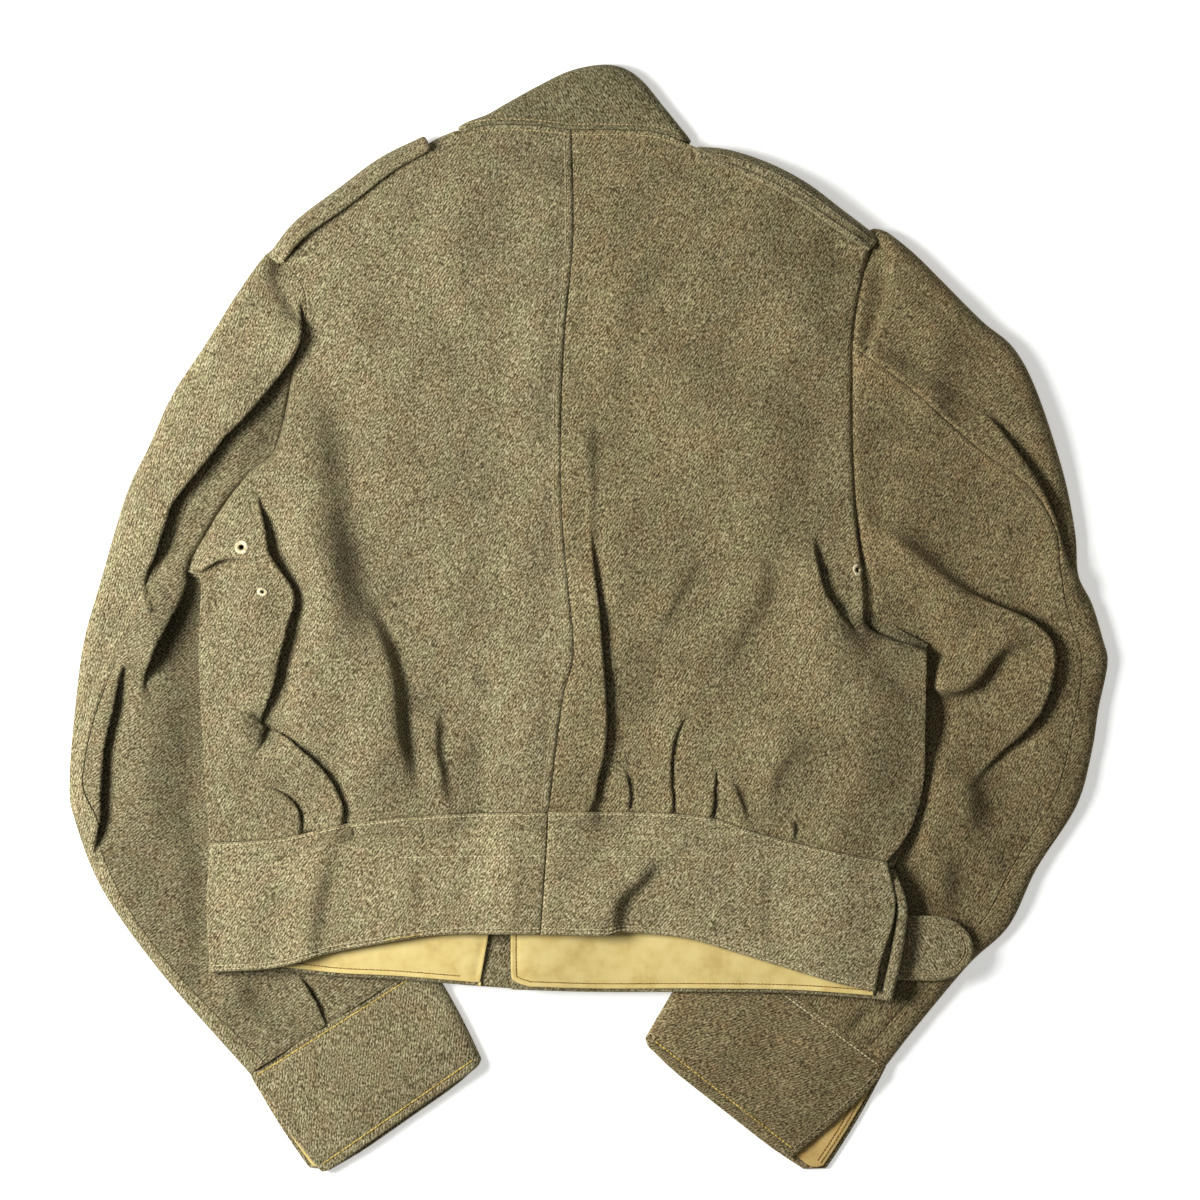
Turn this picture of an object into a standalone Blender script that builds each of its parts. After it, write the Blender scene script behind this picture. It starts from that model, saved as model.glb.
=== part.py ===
"""Battle dress tunic in wool serge, laid flat on a surface with its back up.

The tables are in millimetres and the meshes in metres. On the plan +X runs to the wearer's right,
+Y runs to the collar and +Z is up from the surface the tunic lies on. Each sewn piece is a sheet of
cloth with a wall of its own, and each sheet lies on the sheets below it.
"""

from collections import namedtuple

import bpy
import numpy as np
from mathutils import Vector
from mathutils.geometry import delaunay_2d_cdt

# Walls and gaps
SERGE = 2.0
BAND = 3.5
CUFF = 3.0
COLLAR = 3.0
STRAP = 4.5
DRILL = 1.2
SEAM_GAP = 0.2
CORNER_GAP = 1.2
LAY_GAP = 0.5
ROLL = 8.0
LAP = 8.0

# Raster that holds the height of what has been laid so far
CELL = 3.0
REACH_X = 380.0
REACH_Y = 400.0

# Mesh spacing on the plan
SEAM_STEP = 12.0
SLEEVE_STEP = 17.0
BACK_STEP = 15.0
FRONT_STEP = 24.0
BAND_STEP = 16.0

# Loft of the back over the fronts, and the collar, cuff and strap folds
LOFT = 6.0
COLLAR_RISE = 8.0
NECK_HEIGHT = 9.5
CUFF_RISE = 7.5
STRAP_TOP = 17.0
STRAP_UNDER = 24.0
LIP_RISE = 7.0
LIP_WIDE = 7.0
COLLAR_BEND = 4.5
STRAP_BEND = 7.4

WOOL = (0.150, 0.118, 0.062)
SAND = (0.560, 0.430, 0.190)

Half = namedtuple("Half", "name waist side armhole front_armhole neck front_neck shoulder front_edge "
                          "hem band_end front_hem front_waist front_end outer inner hind_seam cuff "
                          "vent facing strap_out strap_width sections folds")
Section = namedtuple("Section", "share rise")
Fold = namedtuple("Fold", "height steep gentle start end route")
Swell = namedtuple("Swell", "x y reach_x reach_y height")

# Centre back seam, from the waist to the neck, and down the waistband to the hem
CENTRE_SEAM = ((-26, -124), (-17, -51), (-12, -23), (-15, 26), (-18, 103), (-16, 178), (-10, 247),
               (-11, 318))
BAND_SEAM = ((-26, -124), (-28, -162), (-31, -203))

# Top edge of the collar from left to right, and its edge under the fronts
COLLAR_TOP = ((-84, 321), (-70, 327), (-51, 336), (-31, 346), (-12, 355), (8, 359), (22, 357), (34, 349),
              (48, 332), (65, 311))
COLLAR_UNDER = ((-84, 310), (-60, 285), (-12, 262), (35, 275), (61, 302))

# Height of the armhole seam by its share from the underarm to the shoulder
ARMHOLE_SHARE = (0.0, 0.05, 0.2, 0.6, 0.93, 1.0)
ARMHOLE_HEIGHT = (7.0, 11.0, 14.0, 14.0, 12.0, 7.0)

# Soft swells of the back
SWELLS = (
    Swell(x=-90, y=120, reach_x=120, reach_y=150, height=5),
    Swell(x=80, y=110, reach_x=110, reach_y=150, height=6),
    Swell(x=-150, y=-60, reach_x=100, reach_y=70, height=4),
    Swell(x=130, y=-70, reach_x=90, reach_y=70, height=5),
)

# Folds of the back. Each route is the foot of the steep side, which lies to the right of the way walked.
BACK_FOLDS = (
    Fold(height=10, steep=9, gentle=46, start=0.1, end=0.0,
         route=((-212, -57), (-205, -42), (-201, -14), (-193, 14), (-198, 27), (-208, 42), (-208, 65),
                (-210, 86))),
    Fold(height=6, steep=10, gentle=36, start=0.0, end=0.4,
         route=((-221, -64), (-199, -73), (-183, -88), (-168, -104), (-158, -131))),
    Fold(height=4, steep=8, gentle=20, start=0.0, end=0.5,
         route=((-209, -108), (-198, -114), (-185, -137))),
    Fold(height=7, steep=12, gentle=50, start=0.0, end=0.5,
         route=((-158, 117), (-158, 39), (-137, -2), (-124, -23), (-119, -69), (-108, -105),
                (-106, -119))),
    Fold(height=3, steep=9, gentle=20, start=0.0, end=0.5, route=((-98, -70), (-97, -92), (-86, -116))),
    Fold(height=10, steep=9, gentle=42, start=0.5, end=0.0,
         route=((7, -123), (11, -98), (15, -60), (10, -10), (7, 39), (4, 65))),
    Fold(height=4, steep=8, gentle=14, start=0.6, end=0.0, route=((27, -124), (25, -101))),
    Fold(height=5, steep=8, gentle=16, start=0.6, end=0.0,
         route=((56, -123), (54, -107), (53, -92), (56, -73))),
    Fold(height=4, steep=8, gentle=15, start=0.6, end=0.0,
         route=((82, -128), (81, -114), (83, -100))),
    Fold(height=3, steep=9, gentle=15, start=0.6, end=0.0, route=((104, -129), (98, -108))),
    Fold(height=6, steep=9, gentle=22, start=0.0, end=0.2,
         route=((150, 44), (154, 23), (161, 6), (176, -8))),
    Fold(height=-3, steep=26, gentle=26, start=0.0, end=0.0,
         route=((113, 20), (85, -26), (69, -60), (56, -75))),
)

LEFT = Half(
    name="left",
    waist=((-26, -124), (-76, -125), (-112, -127), (-158, -132), (-200, -141), (-245, -144)),
    side=((-245, -144), (-248, -104), (-251, -52), (-253, -6), (-262, 31)),
    armhole=((-262, 31), (-239, 71), (-219, 96), (-204, 109), (-196, 136), (-191, 173), (-186, 196),
             (-190, 218), (-197, 232)),
    front_armhole=((-262, 31), (-232, 58), (-196, 100), (-178, 150), (-176, 190), (-180, 214),
                   (-197, 232)),
    neck=((-11, 318), (-38, 321), (-64, 321), (-87, 314)),
    front_neck=((-4, 268), (-35, 273), (-65, 290), (-87, 314)),
    shoulder=((-87, 314), (-102, 306), (-130, 290), (-156, 273), (-181, 251), (-197, 232)),
    front_edge=((-34, -160), (-20, 60), (-4, 268)),
    hem=((-31, -203), (-60, -203), (-99, -204), (-138, -210), (-169, -216), (-203, -225), (-245, -228)),
    band_end=((-245, -144), (-247, -185), (-245, -228)),
    front_hem=((-34, -240), (-73, -237), (-122, -233), (-161, -231), (-203, -227), (-245, -229)),
    front_waist=((-34, -160), (-122, -155), (-200, -150), (-245, -145)),
    front_end=((-245, -145), (-247, -186), (-245, -229)),
    outer=((-197, 232), (-206, 239), (-226, 213), (-248, 178), (-269, 146), (-284, 113), (-299, 81),
           (-316, 24), (-327, -16), (-333, -64), (-336, -105), (-333, -128), (-315, -174), (-277, -228),
           (-219, -294)),
    inner=((-262, 31), (-256, 0), (-240, -36), (-190, -95), (-145, -152), (-118, -195), (-105, -222)),
    cuff=((-219, -294), (-176, -361), (-70, -287), (-105, -222)),
    hind_seam=((-191, 173), (-238, 115), (-281, 25), (-301, -18), (-305, -34), (-317, -75),
               (-321, -112), (-300, -176), (-264, -230), (-209, -287)),
    vent=0.04,
    facing=(0.17, 0.86),
    strap_out=((-203, 243), (-187, 261), (-161, 281), (-135, 299), (-104, 316)),
    strap_width=9.5,
    sections=(
        Section(share=0.00, rise=12.0),
        Section(share=0.15, rise=13.0),
        Section(share=0.30, rise=12.0),
        Section(share=0.45, rise=10.0),
        Section(share=0.70, rise=9.0),
        Section(share=1.00, rise=8.5),
    ),
    folds=(
        Fold(height=10, steep=10, gentle=34, start=0.2, end=0.3,
             route=((-280, 27), (-279, 47), (-269, 76), (-254, 95), (-238, 117), (-205, 160),
                    (-190, 190))),
        Fold(height=7, steep=10, gentle=22, start=0.1, end=0.6,
             route=((-292, -32), (-290, -20), (-269, 8), (-263, 26))),
        Fold(height=5, steep=9, gentle=16, start=0.0, end=0.2,
             route=((-318, -143), (-319, -91), (-315, -57), (-304, -33))),
    ),
)

RIGHT = Half(
    name="right",
    waist=((-26, -124), (7, -124), (54, -125), (82, -128), (105, -136), (135, -144), (167, -151),
           (193, -156)),
    side=((193, -156), (208, -136), (217, -105), (218, -69), (219, -20)),
    armhole=((219, -20), (196, -12), (180, -3), (180, 19), (175, 55), (172, 97), (171, 143), (172, 188),
             (177, 217), (182, 240)),
    front_armhole=((219, -20), (190, -5), (160, 45), (148, 100), (152, 190), (165, 226), (182, 240)),
    neck=((-11, 318), (20, 318), (46, 316), (64, 305)),
    front_neck=((-20, 268), (20, 271), (46, 286), (64, 305)),
    shoulder=((64, 305), (86, 297), (111, 289), (136, 276), (160, 258), (182, 240)),
    front_edge=((-50, -160), (-36, 60), (-20, 268)),
    hem=((-31, -203), (12, -204), (22, -202), (59, -205), (89, -213), (135, -227), (161, -235),
         (186, -242)),
    band_end=((193, -156), (193, -195), (186, -242)),
    front_hem=((-50, -239), (7, -241), (72, -241), (137, -242), (196, -246)),
    front_waist=((-50, -160), (30, -158), (110, -160), (197, -164)),
    front_end=((197, -164), (205, -190), (203, -214), (202, -233), (196, -246)),
    outer=((182, 240), (189, 251), (200, 246), (213, 235), (230, 218), (255, 193), (275, 176),
           (290, 148), (307, 96), (315, 56), (317, 29), (326, 10), (333, -13), (336, -28), (330, -58),
           (326, -84), (316, -120), (290, -161), (272, -198), (246, -223), (210, -266), (193, -288)),
    inner=((219, -20), (222, -44), (208, -72), (150, -138), (103, -182), (82, -205)),
    cuff=((193, -288), (149, -362), (37, -274), (82, -205)),
    hind_seam=((172, 178), (205, 153), (230, 131), (255, 109), (279, 88), (293, 70), (301, 52),
               (304, 30), (312, 2), (320, -28), (313, -75), (302, -115), (276, -158), (258, -192),
               (235, -216), (178, -279)),
    vent=0.11,
    facing=(0.0, 0.95),
    strap_out=((72, 307), (91, 305), (116, 297), (141, 284), (165, 266), (182, 252)),
    strap_width=12.0,
    sections=(
        Section(share=0.00, rise=12.0),
        Section(share=0.15, rise=13.0),
        Section(share=0.30, rise=12.0),
        Section(share=0.42, rise=10.0),
        Section(share=0.70, rise=9.0),
        Section(share=1.00, rise=8.5),
    ),
    folds=(
        Fold(height=5, steep=10, gentle=20, start=0.2, end=0.4,
             route=((245, 148), (267, 126), (286, 88), (299, 73), (306, 60))),
        Fold(height=9, steep=10, gentle=40, start=0.0, end=0.0,
             route=((273, -86), (286, -71), (296, -54), (304, -30), (293, -5), (277, 8), (258, 23),
                    (228, 43))),
        Fold(height=5, steep=9, gentle=26, start=0.2, end=0.0,
             route=((226, -36), (249, -47), (260, -36), (273, -21))),
    ),
)

# Rounded waist tab: root, tip and half width
TAB_ROOT = (190, -212)
TAB_TIP = (249, -213)
TAB_HALF = 21.0
TAB_ROUND = 26.0

# Drill facings of the front waistband: depth, and how far in from the hem
FACING_DEEP = 52.0
FACING_IN = 2.5


def smooth(value):
    """Ease from 0 to 1."""
    value = np.clip(value, 0.0, 1.0)
    return value * value * (3.0 - 2.0 * value)


def bend(distance, reach=ROLL):
    """Quarter of a round edge, from 0 at the edge to 1 at its reach."""
    value = np.clip(distance / reach, 0.0, 1.0)
    return np.sqrt(1.0 - (1.0 - value) ** 2)


def curve(points, spacing=2.0):
    """Points at an even spacing on a smooth curve through the given points."""
    fixed = np.array(points, float)
    ends = np.vstack([2 * fixed[0] - fixed[1], fixed, 2 * fixed[-1] - fixed[-2]])
    step = np.linspace(0.0, 1.0, 24, endpoint=False)[:, None]
    runs = []
    for a, b, c, d in zip(ends, ends[1:], ends[2:], ends[3:]):
        cubic = (3 * b - a - 3 * c + d) * step ** 3
        square = (2 * a - 5 * b + 4 * c - d) * step ** 2
        runs.append(0.5 * (2 * b + (c - a) * step + square + cubic))
    line = np.vstack(runs + [fixed[-1:]])
    along = np.concatenate([[0.0], np.cumsum(np.linalg.norm(np.diff(line, axis=0), axis=1))])
    count = max(2, int(round(along[-1] / spacing)) + 1)
    share = np.linspace(0.0, along[-1], count)
    return np.stack([np.interp(share, along, line[:, 0]), np.interp(share, along, line[:, 1])], -1)


def from_line(line, plan):
    """Distance of places from a line, positive to the right of the way walked, and the share along it."""
    step = np.diff(line, axis=0)
    away = plan[:, None, :] - line[None, :-1, :]
    part = np.clip((away * step).sum(-1) / (step ** 2).sum(1), 0.0, 1.0)
    gap = np.linalg.norm(away - part[..., None] * step, axis=-1)
    best = gap.argmin(1)
    row = np.arange(len(plan))
    turn = away[row, best, 0] * step[best, 1] - away[row, best, 1] * step[best, 0]
    share = (best + part[row, best]) / len(step)
    return np.where(turn < 0, -1.0, 1.0) * gap[row, best], share


def near(line, plan):
    """Plain distance of places from a line."""
    return np.abs(from_line(line, plan)[0])


def fold_height(folds, plan):
    """Height that the folds add at places on the plan."""
    total = np.zeros(len(plan))
    for fold in folds:
        offset, share = from_line(curve(fold.route, 5.0), plan)
        offset = offset + fold.steep
        width = np.where(offset > 0, fold.steep, fold.gentle)
        crest = 0.5 + 0.5 * np.cos(np.pi * np.clip(np.abs(offset) / width, 0.0, 1.0))
        rising = fold.start + (1 - fold.start) * smooth(share / 0.35)
        falling = fold.end + (1 - fold.end) * smooth((1 - share) / 0.35)
        total += fold.height * crest * np.minimum(rising, falling)
    return total


def inside(loop, plan):
    """Whether places lie inside a closed outline."""
    x = plan[:, :1]
    y = plan[:, 1:]
    after = np.roll(loop, -1, axis=0)
    spans = (loop[:, 1] > y) != (after[:, 1] > y)
    rise = np.where(after[:, 1] == loop[:, 1], 1e-9, after[:, 1] - loop[:, 1])
    cross = loop[:, 0] + (y - loop[:, 1]) * (after[:, 0] - loop[:, 0]) / rise
    return (spans & (x < cross)).sum(1) % 2 == 1


def outline(*edges):
    """Close edges, each one ending where the next starts, into one anticlockwise outline."""
    loop = np.vstack([edge[:-1] for edge in edges])
    after = np.roll(loop, -1, axis=0)
    area = (loop[:, 0] * after[:, 1] - after[:, 0] * loop[:, 1]).sum()
    return loop if area > 0 else loop[::-1]


def draw_back(loop, keep=None, gap=SEAM_GAP, corners=()):
    """Move an outline in by a gap, more at its rolled corners, and not along the line that is kept."""
    ahead = np.roll(loop, -1, axis=0) - loop
    ahead /= np.linalg.norm(ahead, axis=1, keepdims=True)
    way = ahead + np.roll(ahead, 1, axis=0)
    way /= np.linalg.norm(way, axis=1, keepdims=True)
    amount = np.full((len(loop), 1), gap)
    for corner in corners:
        amount[:, 0] += CORNER_GAP * smooth(1 - np.linalg.norm(loop - corner, axis=1) / 14.0)
    moved = loop + amount * np.stack([-way[:, 1], way[:, 0]], -1)
    if keep is None:
        return moved
    return np.where((near(keep, loop) < 0.01)[:, None], loop, moved)


def region(loop, spacing, rolled=(), reach=ROLL):
    """Triangles that fill an outline, with closer rows of points beside its rolled edges."""
    rows = [loop]
    for edge in rolled:
        way = np.gradient(edge, axis=0)
        way /= np.linalg.norm(way, axis=1, keepdims=True)
        for depth in (0.14 * reach, 0.48 * reach, reach):
            for turn in (-1.0, 1.0):
                row = (edge + turn * depth * np.stack([-way[:, 1], way[:, 0]], -1))[1:-1]
                row = row[inside(loop, row)]
                clear = near(np.vstack([loop, loop[:1]]), row) > 0.9 * depth
                rows.append(row[clear])
    across = np.arange(loop[:, 0].min(), loop[:, 0].max(), spacing)
    up = np.arange(loop[:, 1].min(), loop[:, 1].max(), spacing * 0.866)
    x, y = np.meshgrid(across, up)
    x[1::2] += spacing / 2
    fill = np.stack([x.ravel(), y.ravel()], -1)
    fill = fill[inside(loop, fill)]
    fill = fill[near(np.vstack([loop, loop[:1]]), fill) > 0.55 * spacing]
    for edge in rolled:
        fill = fill[near(edge, fill) > reach + 0.5 * spacing]
    points = np.vstack(rows + [fill])
    ring = list(range(len(loop)))
    edges = list(zip(ring, ring[1:] + ring[:1]))
    places = [Vector(point) for point in points.tolist()]
    made = delaunay_2d_cdt(places, edges, [ring], 1, 1e-5)
    return np.array([tuple(place) for place in made[0]]), np.array([tuple(face) for face in made[2]])


class Stack:
    """Height of everything laid so far, on a raster over the plan."""

    def __init__(self):
        self.columns = int(2 * REACH_X / CELL) + 1
        self.rows = int(2 * REACH_Y / CELL) + 1
        self.height = np.zeros((self.rows, self.columns))
        self.tent = self.height.copy()

    def lay(self, points, faces, within=None):
        """Add the upper face of a sheet, or only what lies inside an outline."""
        corners = points[faces]
        steps = 9
        for i in range(steps + 1):
            for j in range(steps + 1 - i):
                weight = np.array([i, j, steps - i - j]) / steps
                dots = (corners * weight[None, :, None]).sum(1)
                if within is not None:
                    dots = dots[inside(within, dots[:, :2])]
                column = np.rint((dots[:, 0] + REACH_X) / CELL).astype(int)
                row = np.rint((dots[:, 1] + REACH_Y) / CELL).astype(int)
                np.maximum.at(self.height, (row, column), dots[:, 2])

    def settle(self, reach):
        """Spread each height over a cloth's reach, as cloth spans what it lies on."""
        size = int(np.ceil(reach / CELL))
        padded = np.pad(self.height, size)
        self.tent = self.height.copy()
        for down in range(-size, size + 1):
            for over in range(-size, size + 1):
                if np.hypot(down, over) * CELL <= reach:
                    rows = slice(size + down, size + down + self.rows)
                    columns = slice(size + over, size + over + self.columns)
                    self.tent = np.maximum(self.tent, padded[rows, columns])

    def rest(self, plan, wall):
        """Middle height of a sheet with this wall lying at places on the plan."""
        column = np.clip((plan[:, 0] + REACH_X) / CELL, 0, self.columns - 1.001)
        row = np.clip((plan[:, 1] + REACH_Y) / CELL, 0, self.rows - 1.001)
        i = row.astype(int)
        j = column.astype(int)
        a = row - i
        b = column - j
        low = self.tent[i, j] * (1 - b) + self.tent[i, j + 1] * b
        high = self.tent[i + 1, j] * (1 - b) + self.tent[i + 1, j + 1] * b
        under = low * (1 - a) + high * a
        return under + LAY_GAP * np.clip(under / 2.0, 0.0, 1.0) + wall / 2


def material(name, colour):
    """Woven cloth: matt and without metal."""
    made = bpy.data.materials.new(name)
    made.use_nodes = True
    shader = made.node_tree.nodes["Principled BSDF"]
    shader.inputs["Base Color"].default_value = (*colour, 1.0)
    shader.inputs["Roughness"].default_value = 0.95
    shader.inputs["Metallic"].default_value = 0.0
    return made


def sheet(name, points, faces, wall, colour=WOOL, upright=None, level=None):
    """Make a closed sheet of cloth about its middle surface and return the points of its upper face.

    The wall stands upright at the upright points, and lies level at the level ones.
    """
    count = len(points)
    upright = np.zeros(count, bool) if upright is None else upright
    level = np.zeros(count, bool) if level is None else level
    corners = points[faces]
    flat = np.cross(corners[:, 1] - corners[:, 0], corners[:, -1] - corners[:, 0])
    normal = np.zeros_like(points)
    for corner in range(faces.shape[1]):
        np.add.at(normal, faces[:, corner], flat)
    normal /= np.maximum(np.linalg.norm(normal, axis=1, keepdims=True), 1e-9)
    normal[upright & (np.abs(normal[:, 2]) > 0.2), :2] = 0.0
    normal[level & (np.abs(normal[:, 2]) < 0.98), 2] = 0.0
    normal /= np.maximum(np.linalg.norm(normal, axis=1, keepdims=True), 1e-9)
    front = points + normal * wall / 2
    back = points - normal * wall / 2
    start = faces.ravel()
    end = np.roll(faces, -1, axis=1).ravel()
    lone = ~np.isin(start * count + end, end * count + start)
    start = start[lone]
    end = end[lone]
    rim = np.stack([end, start, start + count, end + count], 1)
    mesh = bpy.data.meshes.new(name)
    corners = np.vstack([front, back]) / 1000.0
    sides = faces.tolist() + (faces[:, ::-1] + count).tolist() + rim.tolist()
    mesh.from_pydata(corners.tolist(), [], sides)
    mesh.materials.append(material(name + "_cloth", colour))
    made = bpy.data.objects.new(name, mesh)
    bpy.context.scene.collection.objects.link(made)
    made.parent = bpy.data.objects["tunic"]
    return np.where(front[:, 2:] > back[:, 2:], front, back)


def grid_faces(rows, columns):
    """Four-sided faces of a grid of points."""
    number = np.arange(rows * columns).reshape(rows, columns)
    corners = (number[:-1, :-1], number[1:, :-1], number[1:, 1:], number[:-1, 1:])
    return np.stack([corner.ravel() for corner in corners], 1)


def with_height(plan, height):
    """Points from places on the plan and their heights."""
    return np.concatenate([plan, np.asarray(height)[:, None]], 1)


def fold_together(first, first_faces, second, second_faces, fold):
    """Join two leaves along their fold, the second turned over."""
    number = len(first) + np.arange(len(second))
    for place in fold:
        here = np.linalg.norm(first[:, :2] - place, axis=1).argmin()
        there = np.linalg.norm(second[:, :2] - place, axis=1).argmin()
        number[there] = here
    faces = np.vstack([first_faces, number[second_faces[:, ::-1]]])
    used, faces = np.unique(faces, return_inverse=True)
    return np.vstack([first, second])[used], faces.reshape(-1, 3)


def body_outline():
    """Outline of the body on the plan, without the sleeves."""
    edges = [curve(LEFT.hem), curve(LEFT.band_end)[::-1], curve(LEFT.side), curve(LEFT.armhole),
             curve(LEFT.shoulder)[::-1], curve(LEFT.neck)[::-1], curve(RIGHT.neck), curve(RIGHT.shoulder),
             curve(RIGHT.armhole)[::-1], curve(RIGHT.side)[::-1], curve(RIGHT.band_end),
             curve(RIGHT.hem)[::-1]]
    return draw_back(outline(*edges), gap=6.0)


def armhole_height(half, plan, z, reach):
    """Tie heights near the armhole to the height of its seam."""
    gap, share = from_line(curve(half.armhole), plan)
    height = np.interp(share, ARMHOLE_SHARE, ARMHOLE_HEIGHT)
    return z + (height - z) * smooth(1 - np.abs(gap) / reach)


def make_sleeve(half, stack, cover, body):
    """Top sleeve round the outer fold, and under sleeve beside it on the upper layer."""
    outer = curve(half.outer, SLEEVE_STEP)
    inner = curve(half.inner, SLEEVE_STEP)
    armhole = curve(half.armhole, SEAM_STEP)
    front_armhole = curve(half.front_armhole, SLEEVE_STEP)
    cuff_line = curve((half.cuff[0], half.cuff[3]), SEAM_STEP)
    start = np.linalg.norm(armhole - half.hind_seam[0], axis=1).argmin()
    end = np.linalg.norm(cuff_line - half.hind_seam[-1], axis=1).argmin()
    route = (tuple(armhole[start]),) + half.hind_seam[1:-1] + (tuple(cuff_line[end]),)
    hind = curve(route, SLEEVE_STEP)
    share = [row.share for row in half.sections]

    def heights(plan, way):
        gap, along = from_line(outer, plan)
        rise = np.interp(along, share, [row.rise for row in half.sections])
        edge = bend(np.abs(gap)) * bend(near(inner, plan))
        if way < 0:
            return SERGE / 2 + rise / 2 * (1 - edge)
        z = SERGE / 2 + rise / 2 * (1 + edge) + fold_height(half.folds, plan) * edge
        return armhole_height(half, plan, z, 28.0)

    top_loop = outline(armhole[start:][::-1], hind, cuff_line[end::-1], outer[::-1])
    top_plan, top_faces = region(draw_back(top_loop, outer), SLEEVE_STEP, (outer,))
    low_loop = outline(front_armhole[::-1], inner, cuff_line[::-1], outer[::-1])
    low_plan, low_faces = region(draw_back(low_loop, outer), 2 * SLEEVE_STEP, (outer, inner))
    low_z = heights(low_plan, -1.0) - SEAM_GAP * (near(inner, low_plan) < 0.3)
    top = with_height(top_plan, heights(top_plan, 1.0))
    low = with_height(low_plan, low_z)
    points, faces = fold_together(top, top_faces, low, low_faces, outer)
    plan = points[:, :2]
    on_hind = near(hind, plan) < 0.5
    on_inner = near(inner, plan) < 0.5
    on_arm = (near(armhole, plan) < 0.5) & (near(outer, plan) > 2.0)
    on_fold = near(outer, plan) < 0.05
    upright = (on_hind | on_arm) & ~on_fold
    face = sheet(half.name + "_top_sleeve", points, faces, SERGE, upright=upright, level=on_inner | on_fold)
    stack.lay(face, faces, body)
    cover.lay(face, faces)
    stack.lay(with_height(low_plan, low_z + SERGE / 2 * (low_z < SERGE)), low_faces)

    under_loop = outline(armhole[:start + 1][::-1], inner, cuff_line[end:][::-1], hind[::-1])
    plan, faces = region(draw_back(under_loop, corners=(armhole[0],)), SLEEVE_STEP, (inner,))
    z = heights(plan, 1.0) + SEAM_GAP * (near(inner, plan) < 0.5)
    on_inner = near(inner, plan) < 0.5
    on_seam = ((near(hind, plan) < 0.5) | (near(armhole, plan) < 0.5)) & ~on_inner
    points = with_height(plan, z)
    face = sheet(half.name + "_under_sleeve", points, faces, SERGE, upright=on_seam, level=on_inner)
    stack.lay(face, faces, body)
    cover.lay(face, faces)


def make_cuff(half, stack):
    """Cuff band folded at the inner edge and open in a vent at the outer edge, with its drill facing."""
    corner = np.array(half.cuff, float)
    down = np.linspace(0.012, 1.0, 6)
    outer = corner[0] + (corner[1] - corner[0]) * down[:, None]
    inner = corner[3] + (corner[2] - corner[3]) * down[:, None]
    width = np.linalg.norm(outer - inner, axis=1)
    roll = np.array([0.0, 1.5, 5.0, 10.0])[:, None] / width
    vent = half.vent * (0.12 + 0.88 * down)
    steps = np.linspace(0.0, 1.0, 6, endpoint=False)[:, None]
    over = np.vstack([vent + (1 - roll[3] - vent) * steps, 1 - roll[::-1]])
    under = np.vstack([1 - roll[1:], (1 - roll[3]) * steps[::-1]])

    def layer(part, way):
        plan = outer + (inner - outer) * part[..., None]
        z = CUFF / 2 + CUFF_RISE / 2 * (1 + way * bend((1 - part) * width))
        return np.concatenate([plan, z[..., None]], -1)

    grid = np.concatenate([layer(over, 1), layer(under, -1)])
    quads = grid_faces(*grid.shape[:2])
    face = sheet(half.name + "_cuff", grid.reshape(-1, 3), quads, CUFF)
    stack.lay(face, np.vstack([quads[:, :3], quads[:, (0, 2, 3)]]))
    strip = np.linspace(0.012, half.vent + 0.08, 4)[:, None] * np.ones(6)
    plan = outer + (inner - outer) * strip[..., None]
    plan = plan[:, :1] + (plan - plan[:, :1]) * 0.94 + (plan[:, -1:] - plan[:, :1]) * 0.03
    points = with_height(plan.reshape(-1, 2), np.full(strip.size, CUFF + 0.4 + DRILL / 2))
    sheet(half.name + "_cuff_facing", points, grid_faces(*strip.shape), DRILL, SAND)


def make_collar(stack):
    """Collar folded along its top edge, its outer leaf on the back and its inner leaf underneath."""
    top = curve(COLLAR_TOP, 9.0)
    seam = np.vstack([curve(LEFT.neck, SEAM_STEP)[::-1], curve(RIGHT.neck, SEAM_STEP)[1:]])
    seam = seam[1:-1]
    under = curve(COLLAR_UNDER, 12.0)

    def leaf(edge, way, spacing):
        loop = outline(edge, np.array([edge[-1], top[-1]]), top[::-1], np.array([top[0], edge[0]]))
        plan, faces = region(draw_back(loop, top), spacing, (top,), COLLAR_BEND)
        z = COLLAR / 2 + COLLAR_RISE / 2 * (1 + way * bend(near(top, plan), COLLAR_BEND))
        return with_height(plan, z), faces

    over, over_faces = leaf(seam, 1.0, 11.0)
    low, low_faces = leaf(under, -1.0, 18.0)
    points, faces = fold_together(over, over_faces, low, low_faces, top)
    on_seam = (near(seam, points[:, :2]) < 0.5) & (points[:, 2] > COLLAR)
    on_fold = near(top, points[:, :2]) < 0.05
    sheet("collar", points, faces, COLLAR, upright=on_seam & ~on_fold, level=on_fold)
    low[:, 2] = np.where(low[:, 2] < COLLAR, low[:, 2] + COLLAR / 2, 0.0)
    stack.lay(low, low_faces)


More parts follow.
